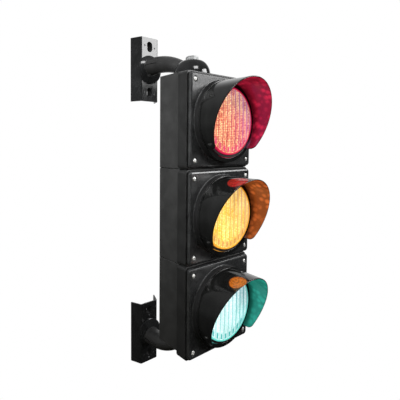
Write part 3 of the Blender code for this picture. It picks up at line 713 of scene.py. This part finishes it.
def make_cover(colour):
    """Make the front cover: bevelled plate, round drum with a filleted foot, counterbored corners."""
    zc = CENTRE_Z[colour]
    edge_line = round_corners([(0.35, COVER_BACK_Y), (0.0, COVER_BACK_Y - 0.5), (0.0, FACE_Y + 2.9),
                               (1.2, FACE_Y + 0.9), (3.8, FACE_Y), (8.0, FACE_Y)],
                              [0, 0.4, 1.5, 1.2, 1.6, 0], 3, closed=False)
    rings = []
    for inset, y in edge_line[:-1]:
        outline = rectangle(COVER_HALF - inset, COVER_HALF + COVER_RISE - inset, (0, zc))
        bend = max(6.0 - 0.75 * inset, 2.5)
        rings.append([(x, y, z) for x, z in round_corners(outline, bend, CORNER_STEPS)])
    item = new_object(f"{colour}_cover", add_loft(bmesh.new(), rings))

    bm = bmesh.new()
    add_lathe(bm, cylinder(68, FACE_Y - 5, COVER_BACK_Y + 5), LARGE_ROUND, (0, zc))
    carve(item, "DIFFERENCE", bm)

    bm = bmesh.new()
    foot = FACE_Y + 0.02
    profile = [(66.0, COVER_BACK_Y), (70.6, COVER_BACK_Y), (70.6, foot + 1.0), (72.4, foot + 0.3),
               (72.4, foot), (71.9, FACE_Y - 0.12), (71.45, FACE_Y - 0.42), (71.12, FACE_Y - 0.95),
               (71.0, FACE_Y - 1.7), (71.0, DRUM_FRONT_Y + 0.25), (70.75, DRUM_FRONT_Y),
               (64.8, DRUM_FRONT_Y), (64.5, DRUM_FRONT_Y + 0.3), (64.5, DRUM_FRONT_Y + 3),
               (61.0, DRUM_FRONT_Y + 3), (61.0, DRUM_FRONT_Y + 6), (66.0, DRUM_FRONT_Y + 6)]
    add_lathe(bm, profile, LARGE_ROUND, (0, zc))
    carve(item, "UNION", bm)

    bm = bmesh.new()
    step_y = FACE_Y + 2.5
    counterbore = ((0, FACE_Y - 2), (5.4, FACE_Y - 2), (5.4, FACE_Y - 0.2), (4.6, FACE_Y + 0.6),
                   (4.6, step_y), (2.4, step_y), (2.4, COVER_BACK_Y + 2), (0, COVER_BACK_Y + 2))
    for screw_place in corner_places(zc):
        add_lathe(bm, counterbore, SMALL_ROUND, screw_place)
    carve(item, "DIFFERENCE", bm)
    finish_piece(item, f"front_{colour}", f"cover_{colour}", "cover_plastic", cover_plastic, ring_black_and_drum_shade)
    # Faces in front of the cover's face, on the drum, take the darker copy: painted shade.
    for face in item.data.polygons:
        face.material_index = int(face.center.y < (FACE_Y - 1.9) * MM)


def make_gasket(colour):
    """Make the square seal with a round bead."""
    zc = CENTRE_Z[colour]
    front, back = COVER_BACK_Y + GAP, FLANGE_FRONT_Y - GAP
    bead = round_corners([(77.2, front), (77.2, back), (73.0, back), (73.0, front)], 0.5, 3)
    bm = bmesh.new()
    rows = []
    for half, y in bead:
        square = rectangle(half, half + COVER_RISE, (0, zc))
        outline = round_corners(square, max(half - 71.2, 1.8), CORNER_STEPS)
        rows.append([bm.verts.new((x, y, z)) for x, z in outline])
    join_rows(bm, rows + rows[:1])
    item = new_object(f"{colour}_gasket", bm)
    finish_piece(item, f"front_{colour}", f"cover_gasket_{colour}", "seal_rubber", seal_rubber)


def lens_depth(x, radius):
    """Give the depth of the fluted lens face."""
    t = min(radius / LENS_RADIUS, 1.0)
    y = LENS_RIM_Y - LENS_CROWN * (1 - t * t)
    fade = max(0.0, min(1.0, (54.6 - radius) / 1.6))
    fade = fade * fade * (3 - 2 * fade)
    groove = 0.5 - 0.5 * math.cos(2 * math.pi * x / FLUTE_PITCH)
    return y + 0.9 * fade * groove ** 1.5 + 0.5 * (1 - fade) * (1 - max(0.0, (radius - 55.3) / 3.0))


def make_lens(colour):
    """Make the cup-shaped lens with upright flutes on its face and a smooth rolled rim, and its ring."""
    zc = CENTRE_Z[colour]
    bm = bmesh.new()
    segments = 240
    radii = [1.3 * k for k in range(1, 43)] + [55.3, 56.0, 56.7, 57.3]
    rows = [[bm.verts.new((0, lens_depth(0, 0), zc))]]
    for radius in radii:
        row = []
        for i in range(segments):
            angle = 2 * math.pi * i / segments
            x = radius * math.cos(angle)
            row.append(bm.verts.new((x, lens_depth(x, radius), zc + radius * math.sin(angle))))
        rows.append(row)
    inner, lip_y = LENS_RADIUS - 3.0, DRUM_FRONT_Y + 0.1
    rest = [(57.8, LENS_RIM_Y + 0.15), (58.15, LENS_RIM_Y + 0.5), (LENS_RADIUS, LENS_RIM_Y + 1.0),
            (LENS_RADIUS, lip_y), (64.2, lip_y), (64.2, lip_y + 2.6), (inner, lip_y + 2.6),
            (inner, LENS_RIM_Y + 3.0), (30.0, LENS_RIM_Y + 1.4), (0, LENS_RIM_Y + 0.9)]
    for radius, y in rest:
        turns = [2 * math.pi * i / segments for i in range(segments if radius > 0 else 1)]
        rows.append([bm.verts.new((radius * math.cos(turn), y, zc + radius * math.sin(turn)))
                     for turn in turns])
    join_rows(bm, rows)
    item = new_object(f"{colour}_lens", bm)
    finish_piece(item, f"front_{colour}", f"lens_{colour}", f"lens_{colour}", LENSES[colour], sharp=50)

    back = lip_y - GAP
    profile = round_corners([(58.6, back), (62.9, back), (62.9, back - 4.4), (58.6, back - 4.4)], 0.6, 3)
    item = new_object(f"{colour}_lens_ring", add_lathe(bmesh.new(), profile, LARGE_ROUND, (0, zc)))
    finish_piece(item, f"front_{colour}", f"lens_ring_{colour}", "cover_plastic", ring_black_and_drum_shade)


def visor_edge_y(angle):
    """Give the depth of the visor's slanted front edge at an angle from straight up."""
    reach = VISOR_REACH + VISOR_SLOPE * VISOR_RADIUS * math.cos(angle)
    left = VISOR_RADIUS * (VISOR_HALF_ANGLE - abs(angle))
    if left < VISOR_END_RADIUS:
        rise = math.sqrt(max(0.0, VISOR_END_RADIUS ** 2 - (VISOR_END_RADIUS - left) ** 2))
        reach -= VISOR_END_RADIUS - rise
    return FACE_Y - reach


def visor_section(angle, zc, pinch):
    """Give the visor wall's section at an angle, with a round front rim."""
    thick = VISOR_WALL / 2 * pinch
    rim_y = visor_edge_y(angle) + thick
    depths = [VISOR_ROOT_Y + (rim_y - VISOR_ROOT_Y) * k / 6 for k in range(6)]
    turns = [math.pi * k / 8 for k in range(9)]
    points = [(thick, y) for y in depths]
    points += [(thick * math.cos(turn), rim_y - thick * math.sin(turn)) for turn in turns]
    points += [(-thick, y) for y in reversed(depths)]
    section = []
    for across, y in points:
        radius = VISOR_RADIUS - VISOR_TAPER * (VISOR_ROOT_Y - y) - VISOR_WALL / 2 + across
        section.append((radius * math.sin(angle), y, zc + radius * math.cos(angle)))
    return section


def make_visor(colour):
    """Make the cutaway visor: a slanted thin tunnel, open below, on a flat ring."""
    zc = CENTRE_Z[colour]
    end = VISOR_END_RADIUS / VISOR_RADIUS
    full = VISOR_HALF_ANGLE - end
    ends = [(full + end * math.sin(math.pi / 2 * k / 8), 1.0) for k in range(1, 8)]
    ends += [(VISOR_HALF_ANGLE - 0.0035, 0.93), (VISOR_HALF_ANGLE - 0.0012, 0.75), (VISOR_HALF_ANGLE, 0.45)]
    body = [(-full + 2 * full * k / 120, 1.0) for k in range(121)]
    stations = [(-angle, pinch) for angle, pinch in reversed(ends)] + body + ends
    wall = [visor_section(angle, zc, pinch) for angle, pinch in stations]
    item = new_object(f"{colour}_visor", add_loft(bmesh.new(), wall))

    back = DRUM_FRONT_Y - GAP
    profile = round_corners([(63.8, back), (70.9, back), (70.9, back - 3.0), (63.8, back - 3.0)],
                            [0.3, 0.1, 0.3, 0.6], 4)
    carve(item, "UNION", add_lathe(bmesh.new(), profile, LARGE_ROUND, (0, zc)))
    finish_piece(item, f"front_{colour}", f"visor_{colour}", "visor_plastic", VISOR_PLASTICS[colour],
                 LIT_WALLS[colour], sharp=40)
    for face in item.data.polygons:
        out = Vector((face.center.x, 0, face.center.z - zc * MM))
        inward = face.normal.dot(out.normalized()) < -0.5
        face.material_index = int(inward and face.center.y < (VISOR_ROOT_Y - 2.3) * MM)


def cross_ring(x_centre, z_centre, turn, y, scale):
    """Give the outline of a cross recess, turned by an angle about its centre."""
    long, half = 1.7 * scale, 0.36 * scale
    quarter = [(long, -half), (long, half), (half, half)]
    ring = []
    for step in range(4):
        angle = turn + step * math.pi / 2
        c, s = math.cos(angle), math.sin(angle)
        ring += [(x_centre + u * c - v * s, y, z_centre + u * s + v * c) for u, v in quarter]
    return ring


def make_cover_screws(colour):
    """Make the corner screws: domed heads with a cross recess, and threaded shanks."""
    zc = CENTRE_Z[colour]
    names = ("top_left", "top_right", "bottom_left", "bottom_right")
    seat = FACE_Y + 2.5 - GAP
    tip_y = FACE_Y - 0.8
    head = [(0.0, tip_y)] + [(SCREW_HEAD_RADIUS * math.sin(a), tip_y + 1.5 * (1 - math.cos(a)))
                             for a in [math.pi / 2 * k / 8 for k in range(1, 9)]]
    thread = []
    y = seat + 3.0
    while y < -212.3:
        thread += [(2.0, y), (1.7, y + 0.35)]
        y += 0.7
    profile = head + [(SCREW_HEAD_RADIUS, seat), (2.0, seat)] + thread + [(1.6, -211.8), (0, -211.5)]
    for name, (x, z) in zip(names, corner_places(zc)):
        bm = bmesh.new()
        add_lathe(bm, profile, SMALL_ROUND, (x, z))
        item = new_object(f"{colour}_screw_{name}", bm)
        bm = bmesh.new()
        turn = 0.35 + 0.8 * math.sin(x * 3 + z)
        add_loft(bm, [cross_ring(x, z, turn, tip_y - 0.5, 1.0), cross_ring(x, z, turn, tip_y + 1.1, 0.8)])
        carve(item, "DIFFERENCE", bm)
        finish_piece(item, f"front_{colour}", f"cover_screw_{colour}_{name}", "stainless_steel",
                     stainless_steel)


def make_light_module(colour):
    """Make the LED carrier, the LED board with its LEDs, and the power board behind it."""
    zc = CENTRE_Z[colour]
    back = STRAP_Y - GAP
    floor = back - 3
    shoulder = FACE_Y + 1.5
    front = FACE_Y - 4.0
    profile = round_corners([(57.5, front), (57.5, back), (10, back), (10, floor), (51.5, floor),
                             (51.5, shoulder), (54.8, shoulder), (54.8, front)],
                            [0.6, 2.0, 0.4, 0.4, 1.5, 0.4, 0.3, 0.6], 3)
    carrier = new_object(f"{colour}_led_carrier", add_lathe(bmesh.new(), profile, MIDDLE_ROUND, (0, zc)))
    bm = bmesh.new()
    for side in (-1, 1):
        xs = sorted((side * 50, side * 73.4))
        add_block(bm, (xs[0], floor, zc - 11), (xs[1], back, zc + 11), 0.7)
    carve(carrier, "UNION", bm)
    finish_piece(carrier, "head", f"led_carrier_{colour}", "carrier_plastic", carrier_plastic)

    board_back = shoulder - GAP
    board_front = board_back - 1.6
    bm = bmesh.new()
    add_lathe(bm, round_corners([(0, board_front), (53.5, board_front), (53.5, board_back), (0, board_back)],
                                [0, 0.2, 0.2, 0], 2, closed=False), MIDDLE_ROUND, (0, zc))
    led = [(0, board_front + 0.2), (2.5, board_front + 0.2), (2.9, board_front - 0.1),
           (2.9, board_front - 0.8), (2.5, board_front - 1.0)]
    led += [(2.5 * math.cos(a), board_front - 1.0 - 2.5 * math.sin(a)) for a in (0.4, 0.8, 1.2)]
    led.append((0, board_front - 3.5))
    for row in range(-4, 5):
        for column in range(-4, 5):
            x, z = column * 10.6, zc + row * 10.6
            if math.hypot(x, z - zc) > 47:
                continue
            add_lathe(bm, led, 14, (x, z), material=1)
    item = new_object(f"{colour}_led_board", bm)
    finish_piece(item, "head", f"led_board_{colour}", "circuit_board", board_white, LIT_LEDS[colour])

    bm = bmesh.new()
    add_block(bm, (-30, floor - 4.0, zc - 22), (30, floor - 2.4, zc + 22), 0.15)
    top = floor - 3.9
    add_block(bm, (-26, floor - 18, zc - 14), (-4, top, zc + 12), 0.8, 1)
    add_block(bm, (14, floor - 8, zc - 18), (27, top, zc - 8), 0.5, 1)
    can = round_corners([(0, floor - 19), (6, floor - 19), (6, top), (0, top)], [0, 0.8, 0.3, 0], 3,
                        closed=False)
    add_lathe(bm, can, MIDDLE_ROUND, (12, zc + 8), material=2)
    for k in range(6):
        x = -24 + k * 9.0
        add_block(bm, (x, top - 1.2, zc + 16), (x + 4.2, top, zc + 18.4), 0.25, 1 if k % 2 else 3)
    for k in range(5):
        add_block(bm, (-26 + k * 5.2, top - 0.9, zc - 20), (-23 + k * 5.2, top, zc - 18), 0.2, 3)
    item = new_object(f"{colour}_driver_board", bm)
    finish_piece(item, "head", f"driver_board_{colour}", "circuit_board", board_green, part_black, part_blue,
                 zinc_steel)


def make_coupling(name, z_joint):
    """Make the hollow coupling between two sections and its ring nut."""
    inner = GAP / 2 + WALL + GAP
    low, high = z_joint - inner, z_joint + inner
    profile = [(9.5, low - 4), (17, low - 4), (17, low), (12.6, low), (12.6, high)]
    z = high + 0.3
    while z < high + 8.2:
        profile += [(12.6, z), (12.2, z + 0.5)]
        z += 1.0
    profile += [(12.3, high + 9), (9.5, high + 9)]
    item = new_object(f"coupling_{name}", add_lathe(bmesh.new(), profile, MIDDLE_ROUND, (0, HUB_Y), "Z"))
    finish_piece(item, "head", f"section_coupling_{name}", "coupling_nylon", coupling_nylon)

    bm = bmesh.new()
    add_prism(bm, hexagon(32, (0, HUB_Y)), 1.0, (high, high + 6), 0.7, "Z", 3)
    nut = new_object(f"coupling_ring_{name}", bm)
    bm = bmesh.new()
    add_lathe(bm, cylinder(13.0, high - 2, high + 8), MIDDLE_ROUND, (0, HUB_Y), "Z")
    carve(nut, "DIFFERENCE", bm)
    finish_piece(nut, "head", f"coupling_nut_{name}", "coupling_nylon", coupling_nylon)


def make_wiring_parts():
    """Make the terminal block with its clamp screws, and the grommet of the cable inlet."""
    zc = CENTRE_Z["green"]
    back = BODY_BACK_Y - WALL - GAP
    block = new_object("terminals", add_block(bmesh.new(), (-32, -142, zc - 62), (32, back, zc - 48), 0.6))
    bm = bmesh.new()
    for k in range(7):
        x = -27 + k * 9
        add_lathe(bm, cylinder(2.6, -145, -138), SMALL_ROUND, (x, zc - 55))
        add_block(bm, (x - 2.2, -137, zc - 64), (x + 2.2, -131, zc - 58), 0.2)
        if k:
            add_block(bm, (x - 4.8, -143, zc - 63), (x - 4.2, -133, zc - 47), 0.05)
    carve(block, "DIFFERENCE", bm)
    bm = bmesh.new()
    bm.from_mesh(block.data)
    bmesh.ops.scale(bm, vec=(1 / MM,) * 3, verts=bm.verts)
    for k in range(7):
        x = -27 + k * 9
        add_lathe(bm, ((0, -140.6), (1.9, -140.6), (2.2, -140.2), (2.2, -138.0), (0, -138.0)), SMALL_ROUND,
                  (x, zc - 55), material=1)
    bpy.data.objects.remove(block)
    block = new_object("terminals", bm)
    finish_piece(block, "head", "terminal_block", "coupling_nylon", coupling_nylon, brass)

    outside = BODY_BACK_Y + GAP
    profile = round_corners([(4.5, back - 2), (12.5, back - 2), (12.5, back), (9.6, back), (9.6, outside),
                             (12.5, outside), (11.3, outside + 2.0), (8.0, outside + 2.4),
                             (6.0, outside + 3.0), (4.5, outside + 3.0)], 0.4, 3)
    item = new_object("inlet_grommet", add_lathe(bmesh.new(), profile, MIDDLE_ROUND, (0, zc - INLET_DROP)))
    finish_piece(item, "head", "cable_grommet", "seal_rubber", seal_rubber)


# ---------------------------------------------------------------- the brackets

def flange_sections(root_z):
    """Give the round sections of an arm's flared root: a thin edge, then a low dome."""
    start_y = PLATE_WEB_Y - GAP
    sections = [(start_y, root_z, 30.5, 30.5), (start_y - 0.4, root_z, 31.0, 31.0),
                (start_y - 1.7, root_z, 31.0, 31.0)]
    for step in range(12):
        share = step / 12
        shrink = share ** 1.15
        sections.append((start_y - 2.0 - 6.0 * share, root_z + ARM_ROOT_RISE * shrink, 30.8 - 11.3 * shrink,
                         30.8 - 13.3 * shrink))
    return sections


def arm_sections(root_z, steps):
    """Give the oval sections of a bracket arm, from its flared root to its hub."""
    hub_z = STACK_HALF_HEIGHT + 22.8
    shoulder_y = PLATE_WEB_Y - GAP - 8.0
    base_z = root_z + ARM_ROOT_RISE
    sections = []
    for step in range(steps + 1):
        t = (step / steps) ** 1.3
        sections.append((shoulder_y + (HUB_Y + 12 - shoulder_y) * t, base_z + (hub_z - base_z) * t ** 2.3,
                         19.5 - 4.5 * t ** 2.5, 17.5 - 4.5 * t ** 2.5))
    return sections


def oval_rings(side, sections, grow=0.0):
    """Turn oval sections into rings; side is 1 above the head and -1 below it."""
    turns = [2 * math.pi * i / MIDDLE_ROUND for i in range(MIDDLE_ROUND)]
    return [[((half_width + grow) * math.cos(turn), y, side * (z + (half_height + grow) * math.sin(turn)))
             for turn in turns] for y, z, half_width, half_height in sections]


def slot_ring(y, z_centre, radius):
    """Give the outline of one of a plate's upright slots."""
    ring = []
    for end in (1, -1):
        for step in range(13):
            angle = math.pi * step / 12 + (0 if end > 0 else math.pi)
            ring.append((radius * math.cos(angle), y, z_centre + end * 3.9 + radius * math.sin(angle)))
    return ring


def make_wall_plate(name):
    """Make the folded channel: round bends, long slots with rolled edges and two dimples by each."""
    zc = ROOT_Z[name]
    run = Vector((PLATE_FOOT_HALF - PLATE_WEB_HALF, -PLATE_WEB_Y)).normalized()
    inner = Vector((PLATE_WEB_HALF, PLATE_WEB_Y)) + PLATE_THICKNESS * Vector((-run.y, run.x))
    web_back = PLATE_WEB_Y + PLATE_THICKNESS
    bend_x = inner.x + run.x * (web_back - inner.y) / run.y
    foot_x = inner.x + run.x * (0 - inner.y) / run.y
    half = [(PLATE_WEB_HALF, PLATE_WEB_Y), (PLATE_FOOT_HALF, 0.0), (foot_x, 0.0), (bend_x, web_back)]
    outline = half + [(-x, y) for x, y in reversed(half)]
    radii = [4.0, 0.4, 0.4, 1.4, 1.4, 0.4, 0.4, 4.0]
    ends = (zc - PLATE_HALF_HEIGHT, zc + PLATE_HALF_HEIGHT)
    plate = new_object(f"{name}_wall_plate", add_prism(bmesh.new(), outline, radii, ends, 0.4))

    collar = ((PLATE_WEB_Y + 1.5, 9.1), (web_back + 0.2, 9.1), (COLLAR_END_Y - 0.6, 9.0),
              (COLLAR_END_Y - 0.15, 8.7), (COLLAR_END_Y, 8.2))
    bore = ((PLATE_WEB_Y - 1, 7.4), (PLATE_WEB_Y, 7.4), (PLATE_WEB_Y + 0.35, 6.9), (PLATE_WEB_Y + 1.1, 6.5),
            (COLLAR_END_Y, 5.3), (COLLAR_END_Y + 3.3, 5.3))
    dimple = ((0, PLATE_WEB_Y - 1), (2.0, PLATE_WEB_Y - 1), (2.0, PLATE_WEB_Y), (1.4, PLATE_WEB_Y + 0.6),
              (0, PLATE_WEB_Y + 0.9))
    collars, holes = bmesh.new(), bmesh.new()
    for slot_z in (zc - SLOT_OFFSET, zc + SLOT_OFFSET):
        add_loft(collars, [slot_ring(y, slot_z, radius) for y, radius in collar])
        add_loft(holes, [slot_ring(y, slot_z, radius) for y, radius in bore])
        for x, rise in ((-13.5, 1.5), (13.5, -1.5)):
            add_lathe(holes, dimple, SMALL_ROUND, (x, slot_z + rise))
    add_lathe(holes, cylinder(ARM_BOLT_HOLE, PLATE_WEB_Y - 3, web_back + 3), SMALL_ROUND, (0, zc))
    carve(plate, "UNION", collars)
    carve(plate, "DIFFERENCE", holes)
    finish_piece(plate, "wall_brackets", f"wall_plate_{name}", "coated_steel", coated_steel)


def make_arm(name, side):
    """Make the smooth cast arm with a groove along each side, its hub, and its bolt."""
    root_z = side * ROOT_Z[name]
    sections = flange_sections(root_z) + arm_sections(root_z, ARM_STEPS)
    arm = new_object(f"{name}_arm", add_loft(bmesh.new(), oval_rings(side, sections)))

    seat = STACK_HALF_HEIGHT + GAP
    crown = CAP_TOP_Z - CAP_WALL - GAP - 0.5
    line = round_corners([(0, seat), (28.0, seat), (28.0, seat + 10), (24.0, seat + 24), (14.0, crown),
                          (0, crown)], [0, 0.8, 3, 3, 2, 0], 4, closed=False)
    bm = bmesh.new()
    add_lathe(bm, [(r, side * z) for r, z in line], MIDDLE_ROUND, (0, HUB_Y), "Z")
    carve(arm, "UNION", bm)

    bm = bmesh.new()
    add_lathe(bm, cylinder(HUB_HOLE, side * (seat - 5), side * (crown + 5)), MIDDLE_ROUND, (0, HUB_Y), "Z")
    web_back = PLATE_WEB_Y + PLATE_THICKNESS
    bolt_end = PLATE_WEB_Y - 30
    add_lathe(bm, cylinder(ARM_BOLT_HOLE, bolt_end - 1, web_back), SMALL_ROUND, (0, side * root_z))
    for wall in (1, -1):
        groove = []
        for k, (y, z, half_width, _) in enumerate(arm_sections(root_z, ARM_STEPS)[:GROOVE_STEPS]):
            deep = 2.6 * min(1.0, (GROOVE_STEPS - k) / 6)
            near, far, level = wall * (half_width + 2.0), wall * (half_width - deep), side * z
            groove.append([(near, y, level + 1.9), (near, y, level - 1.9), (far, y, level - 1.1),
                           (far, y, level + 1.1)])
        add_loft(bm, groove)
    carve(arm, "DIFFERENCE", bm)
    finish_piece(arm, "wall_brackets", f"bracket_arm_{name}", "bracket_coating", bracket_coating,
                 coated_steel, sharp=40)
    for face in arm.data.polygons:
        face.material_index = int(face.center.y > (PLATE_WEB_Y - GAP - 7.6) * MM)

    zc = ROOT_Z[name]
    bm = bmesh.new()
    head = web_back + GAP
    add_bolt(bm, 17.0, (head + 6.4, head), 5.0, bolt_end, (0, zc), "Y")
    bolt = new_object(f"{name}_arm_bolt", bm)
    finish_piece(bolt, "wall_brackets", f"arm_bolt_{name}", "zinc_steel", zinc_steel)


def add_bolt(bm, across_flats, head, radius, tip, centre, axis):
    """Add a hexagon bolt: chamfered corners on its head, a washer face, a plain neck and a thread."""
    top, seat = head
    way = 1 if tip > seat else -1
    flat, corner = across_flats / 2, across_flats / math.sqrt(3)
    tip_flat, washer = flat * 0.93, flat * 0.97
    rows = [(share, tip_flat + (corner - tip_flat) * share / 0.2)
            for share in (0.0, 0.03, 0.06, 0.09, 0.12, 0.15, 0.2)]
    rows += [(0.5, corner), (0.9, corner), (0.94, washer), (1.0, washer)]
    rows = [(top + (seat - top) * share, limit) for share, limit in rows]
    rows.append((seat, radius))
    run = 0.45 * abs(tip - seat)
    while run < abs(tip - seat) - 2.0:
        rows += [(seat + way * run, radius), (seat + way * (run + 0.75), radius * 0.93)]
        run += 1.5
    rows += [(tip - way * 0.8, radius * 0.9), (tip, radius * 0.75)]
    rings = []
    for along, limit in rows:
        ring = []
        for i in range(48):
            angle = 2 * math.pi * i / 48
            reach = min(flat / math.cos(angle % (math.pi / 3) - math.pi / 6), limit)
            ring.append(place(centre[0] + reach * math.cos(angle), centre[1] + reach * math.sin(angle),
                              along, axis))
        rings.append(ring)
    add_loft(bm, rings)


def make_hub_cap(name, side):
    """Make the bowl-shaped cap over the hub, cut away where the arm enters."""
    base = STACK_HALF_HEIGHT + 2 * GAP
    shoulder, rise = 21.8, 30.0
    outside = [(CAP_RADIUS - 0.5, base), (CAP_RADIUS, base + 0.5)]
    inside = []
    for step in range(21):
        angle = math.pi / 2 * step / 20
        drop, run = 1 - math.sin(angle), shoulder * (1 - math.cos(angle))
        outside.append((CAP_RADIUS - run, CAP_TOP_Z - rise * drop))
        inside.append((CAP_RADIUS - CAP_WALL - run, CAP_TOP_Z - CAP_WALL - (rise - CAP_WALL) * drop))
    hole = [(HUB_HOLE + 1.0, CAP_TOP_Z), (HUB_HOLE, CAP_TOP_Z - 0.6), (HUB_HOLE, CAP_TOP_Z - CAP_WALL)]
    profile = outside + hole + inside[::-1] + [(CAP_RADIUS - CAP_WALL, base)]
    bm = bmesh.new()
    add_lathe(bm, [(radius, side * z) for radius, z in profile], LARGE_ROUND // 2, (0, HUB_Y), "Z")
    cap = new_object(f"{name}_hub_cap", bm)
    arm = oval_rings(side, arm_sections(side * ROOT_Z[name], 30), GAP)
    carve(cap, "DIFFERENCE", add_loft(bmesh.new(), arm))
    finish_piece(cap, "wall_brackets", f"hub_cap_{name}", "cap_plastic", cap_plastic)


def make_hub_bolt(name, side):
    """Make the bolt that the head turns on, and its nut inside the end section."""
    top = CAP_TOP_Z + GAP
    tip = STACK_HALF_HEIGHT - WALL - 16
    bm = bmesh.new()
    add_bolt(bm, HUB_ACROSS_FLATS, (side * (top + 7.5), side * top), 6.9, side * tip, (0, HUB_Y), "Z")
    bolt = new_object(f"{name}_hub_bolt", bm)
    finish_piece(bolt, "wall_brackets", f"hub_bolt_{name}", "zinc_steel", zinc_steel)

    high = STACK_HALF_HEIGHT - WALL - GAP
    bm = bmesh.new()
    add_prism(bm, hexagon(HUB_ACROSS_FLATS, (0, HUB_Y)), 0.6, (side * (high - 10), side * high), 0.8, "Z", 3)
    nut = new_object(f"{name}_hub_nut", bm)
    bm = bmesh.new()
    add_lathe(bm, cylinder(HUB_HOLE, side * (high - 12), side * (high + 2)), SMALL_ROUND, (0, HUB_Y), "Z")
    carve(nut, "DIFFERENCE", bm)
    finish_piece(nut, "wall_brackets", f"hub_nut_{name}", "zinc_steel", zinc_steel)


for colour_name in COLOURS:
    make_housing(colour_name)
    make_cover(colour_name)
    make_gasket(colour_name)
    make_lens(colour_name)
    make_visor(colour_name)
    make_cover_screws(colour_name)
    make_light_module(colour_name)
make_coupling("upper", (CENTRE_Z["red"] + CENTRE_Z["amber"]) / 2)
make_coupling("lower", (CENTRE_Z["amber"] + CENTRE_Z["green"]) / 2)
make_wiring_parts()
for bracket_name, bracket_side in (("upper", 1), ("lower", -1)):
    make_wall_plate(bracket_name)
    make_arm(bracket_name, bracket_side)
    make_hub_cap(bracket_name, bracket_side)
    make_hub_bolt(bracket_name, bracket_side)


# ---------------------------------------------------------------- studio

def make_floor():
    """Make the pale studio floor, well below the head, glowing evenly."""
    material = bpy.data.materials.new("floor_white")
    material.use_nodes = True
    material.node_tree.nodes.clear()
    f = Nodes(material.node_tree)
    glow = f.add("Emission", [("Color", (1.0, 1.0, 1.0)), ("Strength", 1.0)])
    f.add("OutputMaterial", [("Surface", glow.outputs[0])])

    bm = bmesh.new()
    bmesh.ops.create_circle(bm, cap_ends=True, segments=96, radius=6.0)
    mesh = bpy.data.meshes.new("floor")
    bm.to_mesh(mesh)
    bm.free()
    mesh.materials.append(material)
    floor = bpy.data.objects.new("floor", mesh)
    floor.location = (0.0, 0.0, -0.62)
    bpy.context.scene.collection.objects.link(floor)
    floor.visible_glossy = False
    floor.visible_diffuse = False


def make_world():
    """Light the studio: a white backdrop behind the head, a soft ceiling, and a dim room elsewhere."""
    world = bpy.data.worlds.new("studio")
    bpy.context.scene.world = world
    world.use_nodes = True
    world.node_tree.nodes.clear()
    w = Nodes(world.node_tree)
    w.place = w.add("TexCoord").outputs["Generated"]
    up = w.toward((0, 0, 1))
    backdrop = w.span(w.toward((0.584, 0.811, 0.0)), 0.55, 0.86, 0.0, 0.85)
    left = w.span(w.toward((-0.75, 0.65, 0.12)), 0.2, 0.9, 0.0, 0.10)
    ceiling = w.span(up, 0.25, 0.8, 0.0, 0.24)
    below = w.span(up, -0.35, 0.02, 0.25, 1.0)
    room = w.plus(w.plus(backdrop, left), 0.06)
    total = w.plus(w.times(room, below), ceiling)

    # The camera sees plain white; the room's own light falls on everything else.
    seen = w.add("LightPath").outputs["Is Camera Ray"]
    strength = w.plus(w.times(total, w.maths("SUBTRACT", 1.0, seen)), seen)
    background = w.add("Background", [("Color", (1.0, 1.0, 1.0)), ("Strength", strength)])
    w.add("OutputWorld", [("Surface", background.outputs[0])])


def add_softbox(name, location, aim, size, radiance, colour=(1.0, 1.0, 1.0), mirrored=True, spread=180):
    """Add a soft rectangular light with a given brightness and spread; gloss may mirror it or not."""
    data = bpy.data.lights.new(name, "AREA")
    data.shape = "RECTANGLE"
    data.size, data.size_y = size
    data.energy = radiance * math.pi * size[0] * size[1]
    data.color = colour
    data.spread = math.radians(spread)
    light = bpy.data.objects.new(name, data)
    light.location = location
    light.rotation_euler = (Vector(aim) - Vector(location)).to_track_quat("-Z", "Y").to_euler()
    light.visible_camera = False
    light.visible_glossy = mirrored
    bpy.context.scene.collection.objects.link(light)


make_floor()
make_world()
add_softbox("front_softbox", (2.05, -2.35, 1.38), (0, -0.2, 0.2), (1.9, 1.0), 13.0)
add_softbox("key_softbox", (-0.5, -2.1, 2.1), (0, -0.2, 0.1), (1.1, 0.7), 14.0)
add_softbox("left_softbox", (-0.5, -0.25, 0.28), (0, -0.18, 0.1), (0.45, 0.35), 4.3,
            mirrored=False, spread=105)
add_softbox("low_fill", (-0.9, -0.5, -0.55), (0, -0.2, -0.15), (0.5, 0.5), 1.0,
            (1.0, 0.92, 0.02), mirrored=False)

camera_data = bpy.data.cameras.new("camera")
camera = bpy.data.objects.new("camera", camera_data)
bpy.context.scene.collection.objects.link(camera)
camera.location = (-0.477, -0.644, 0.1215)
camera.rotation_euler = (math.radians(90 - 3.27), 0.0, math.radians(-35.78))
camera_data.sensor_width = 36.0
camera_data.lens = 31.0
camera_data.shift_x = 0.154
camera_data.shift_y = -0.085
camera_data.clip_start = 0.01
camera_data.clip_end = 50.0
bpy.context.scene.camera = camera
bpy.context.scene.view_settings.view_transform = "Standard"
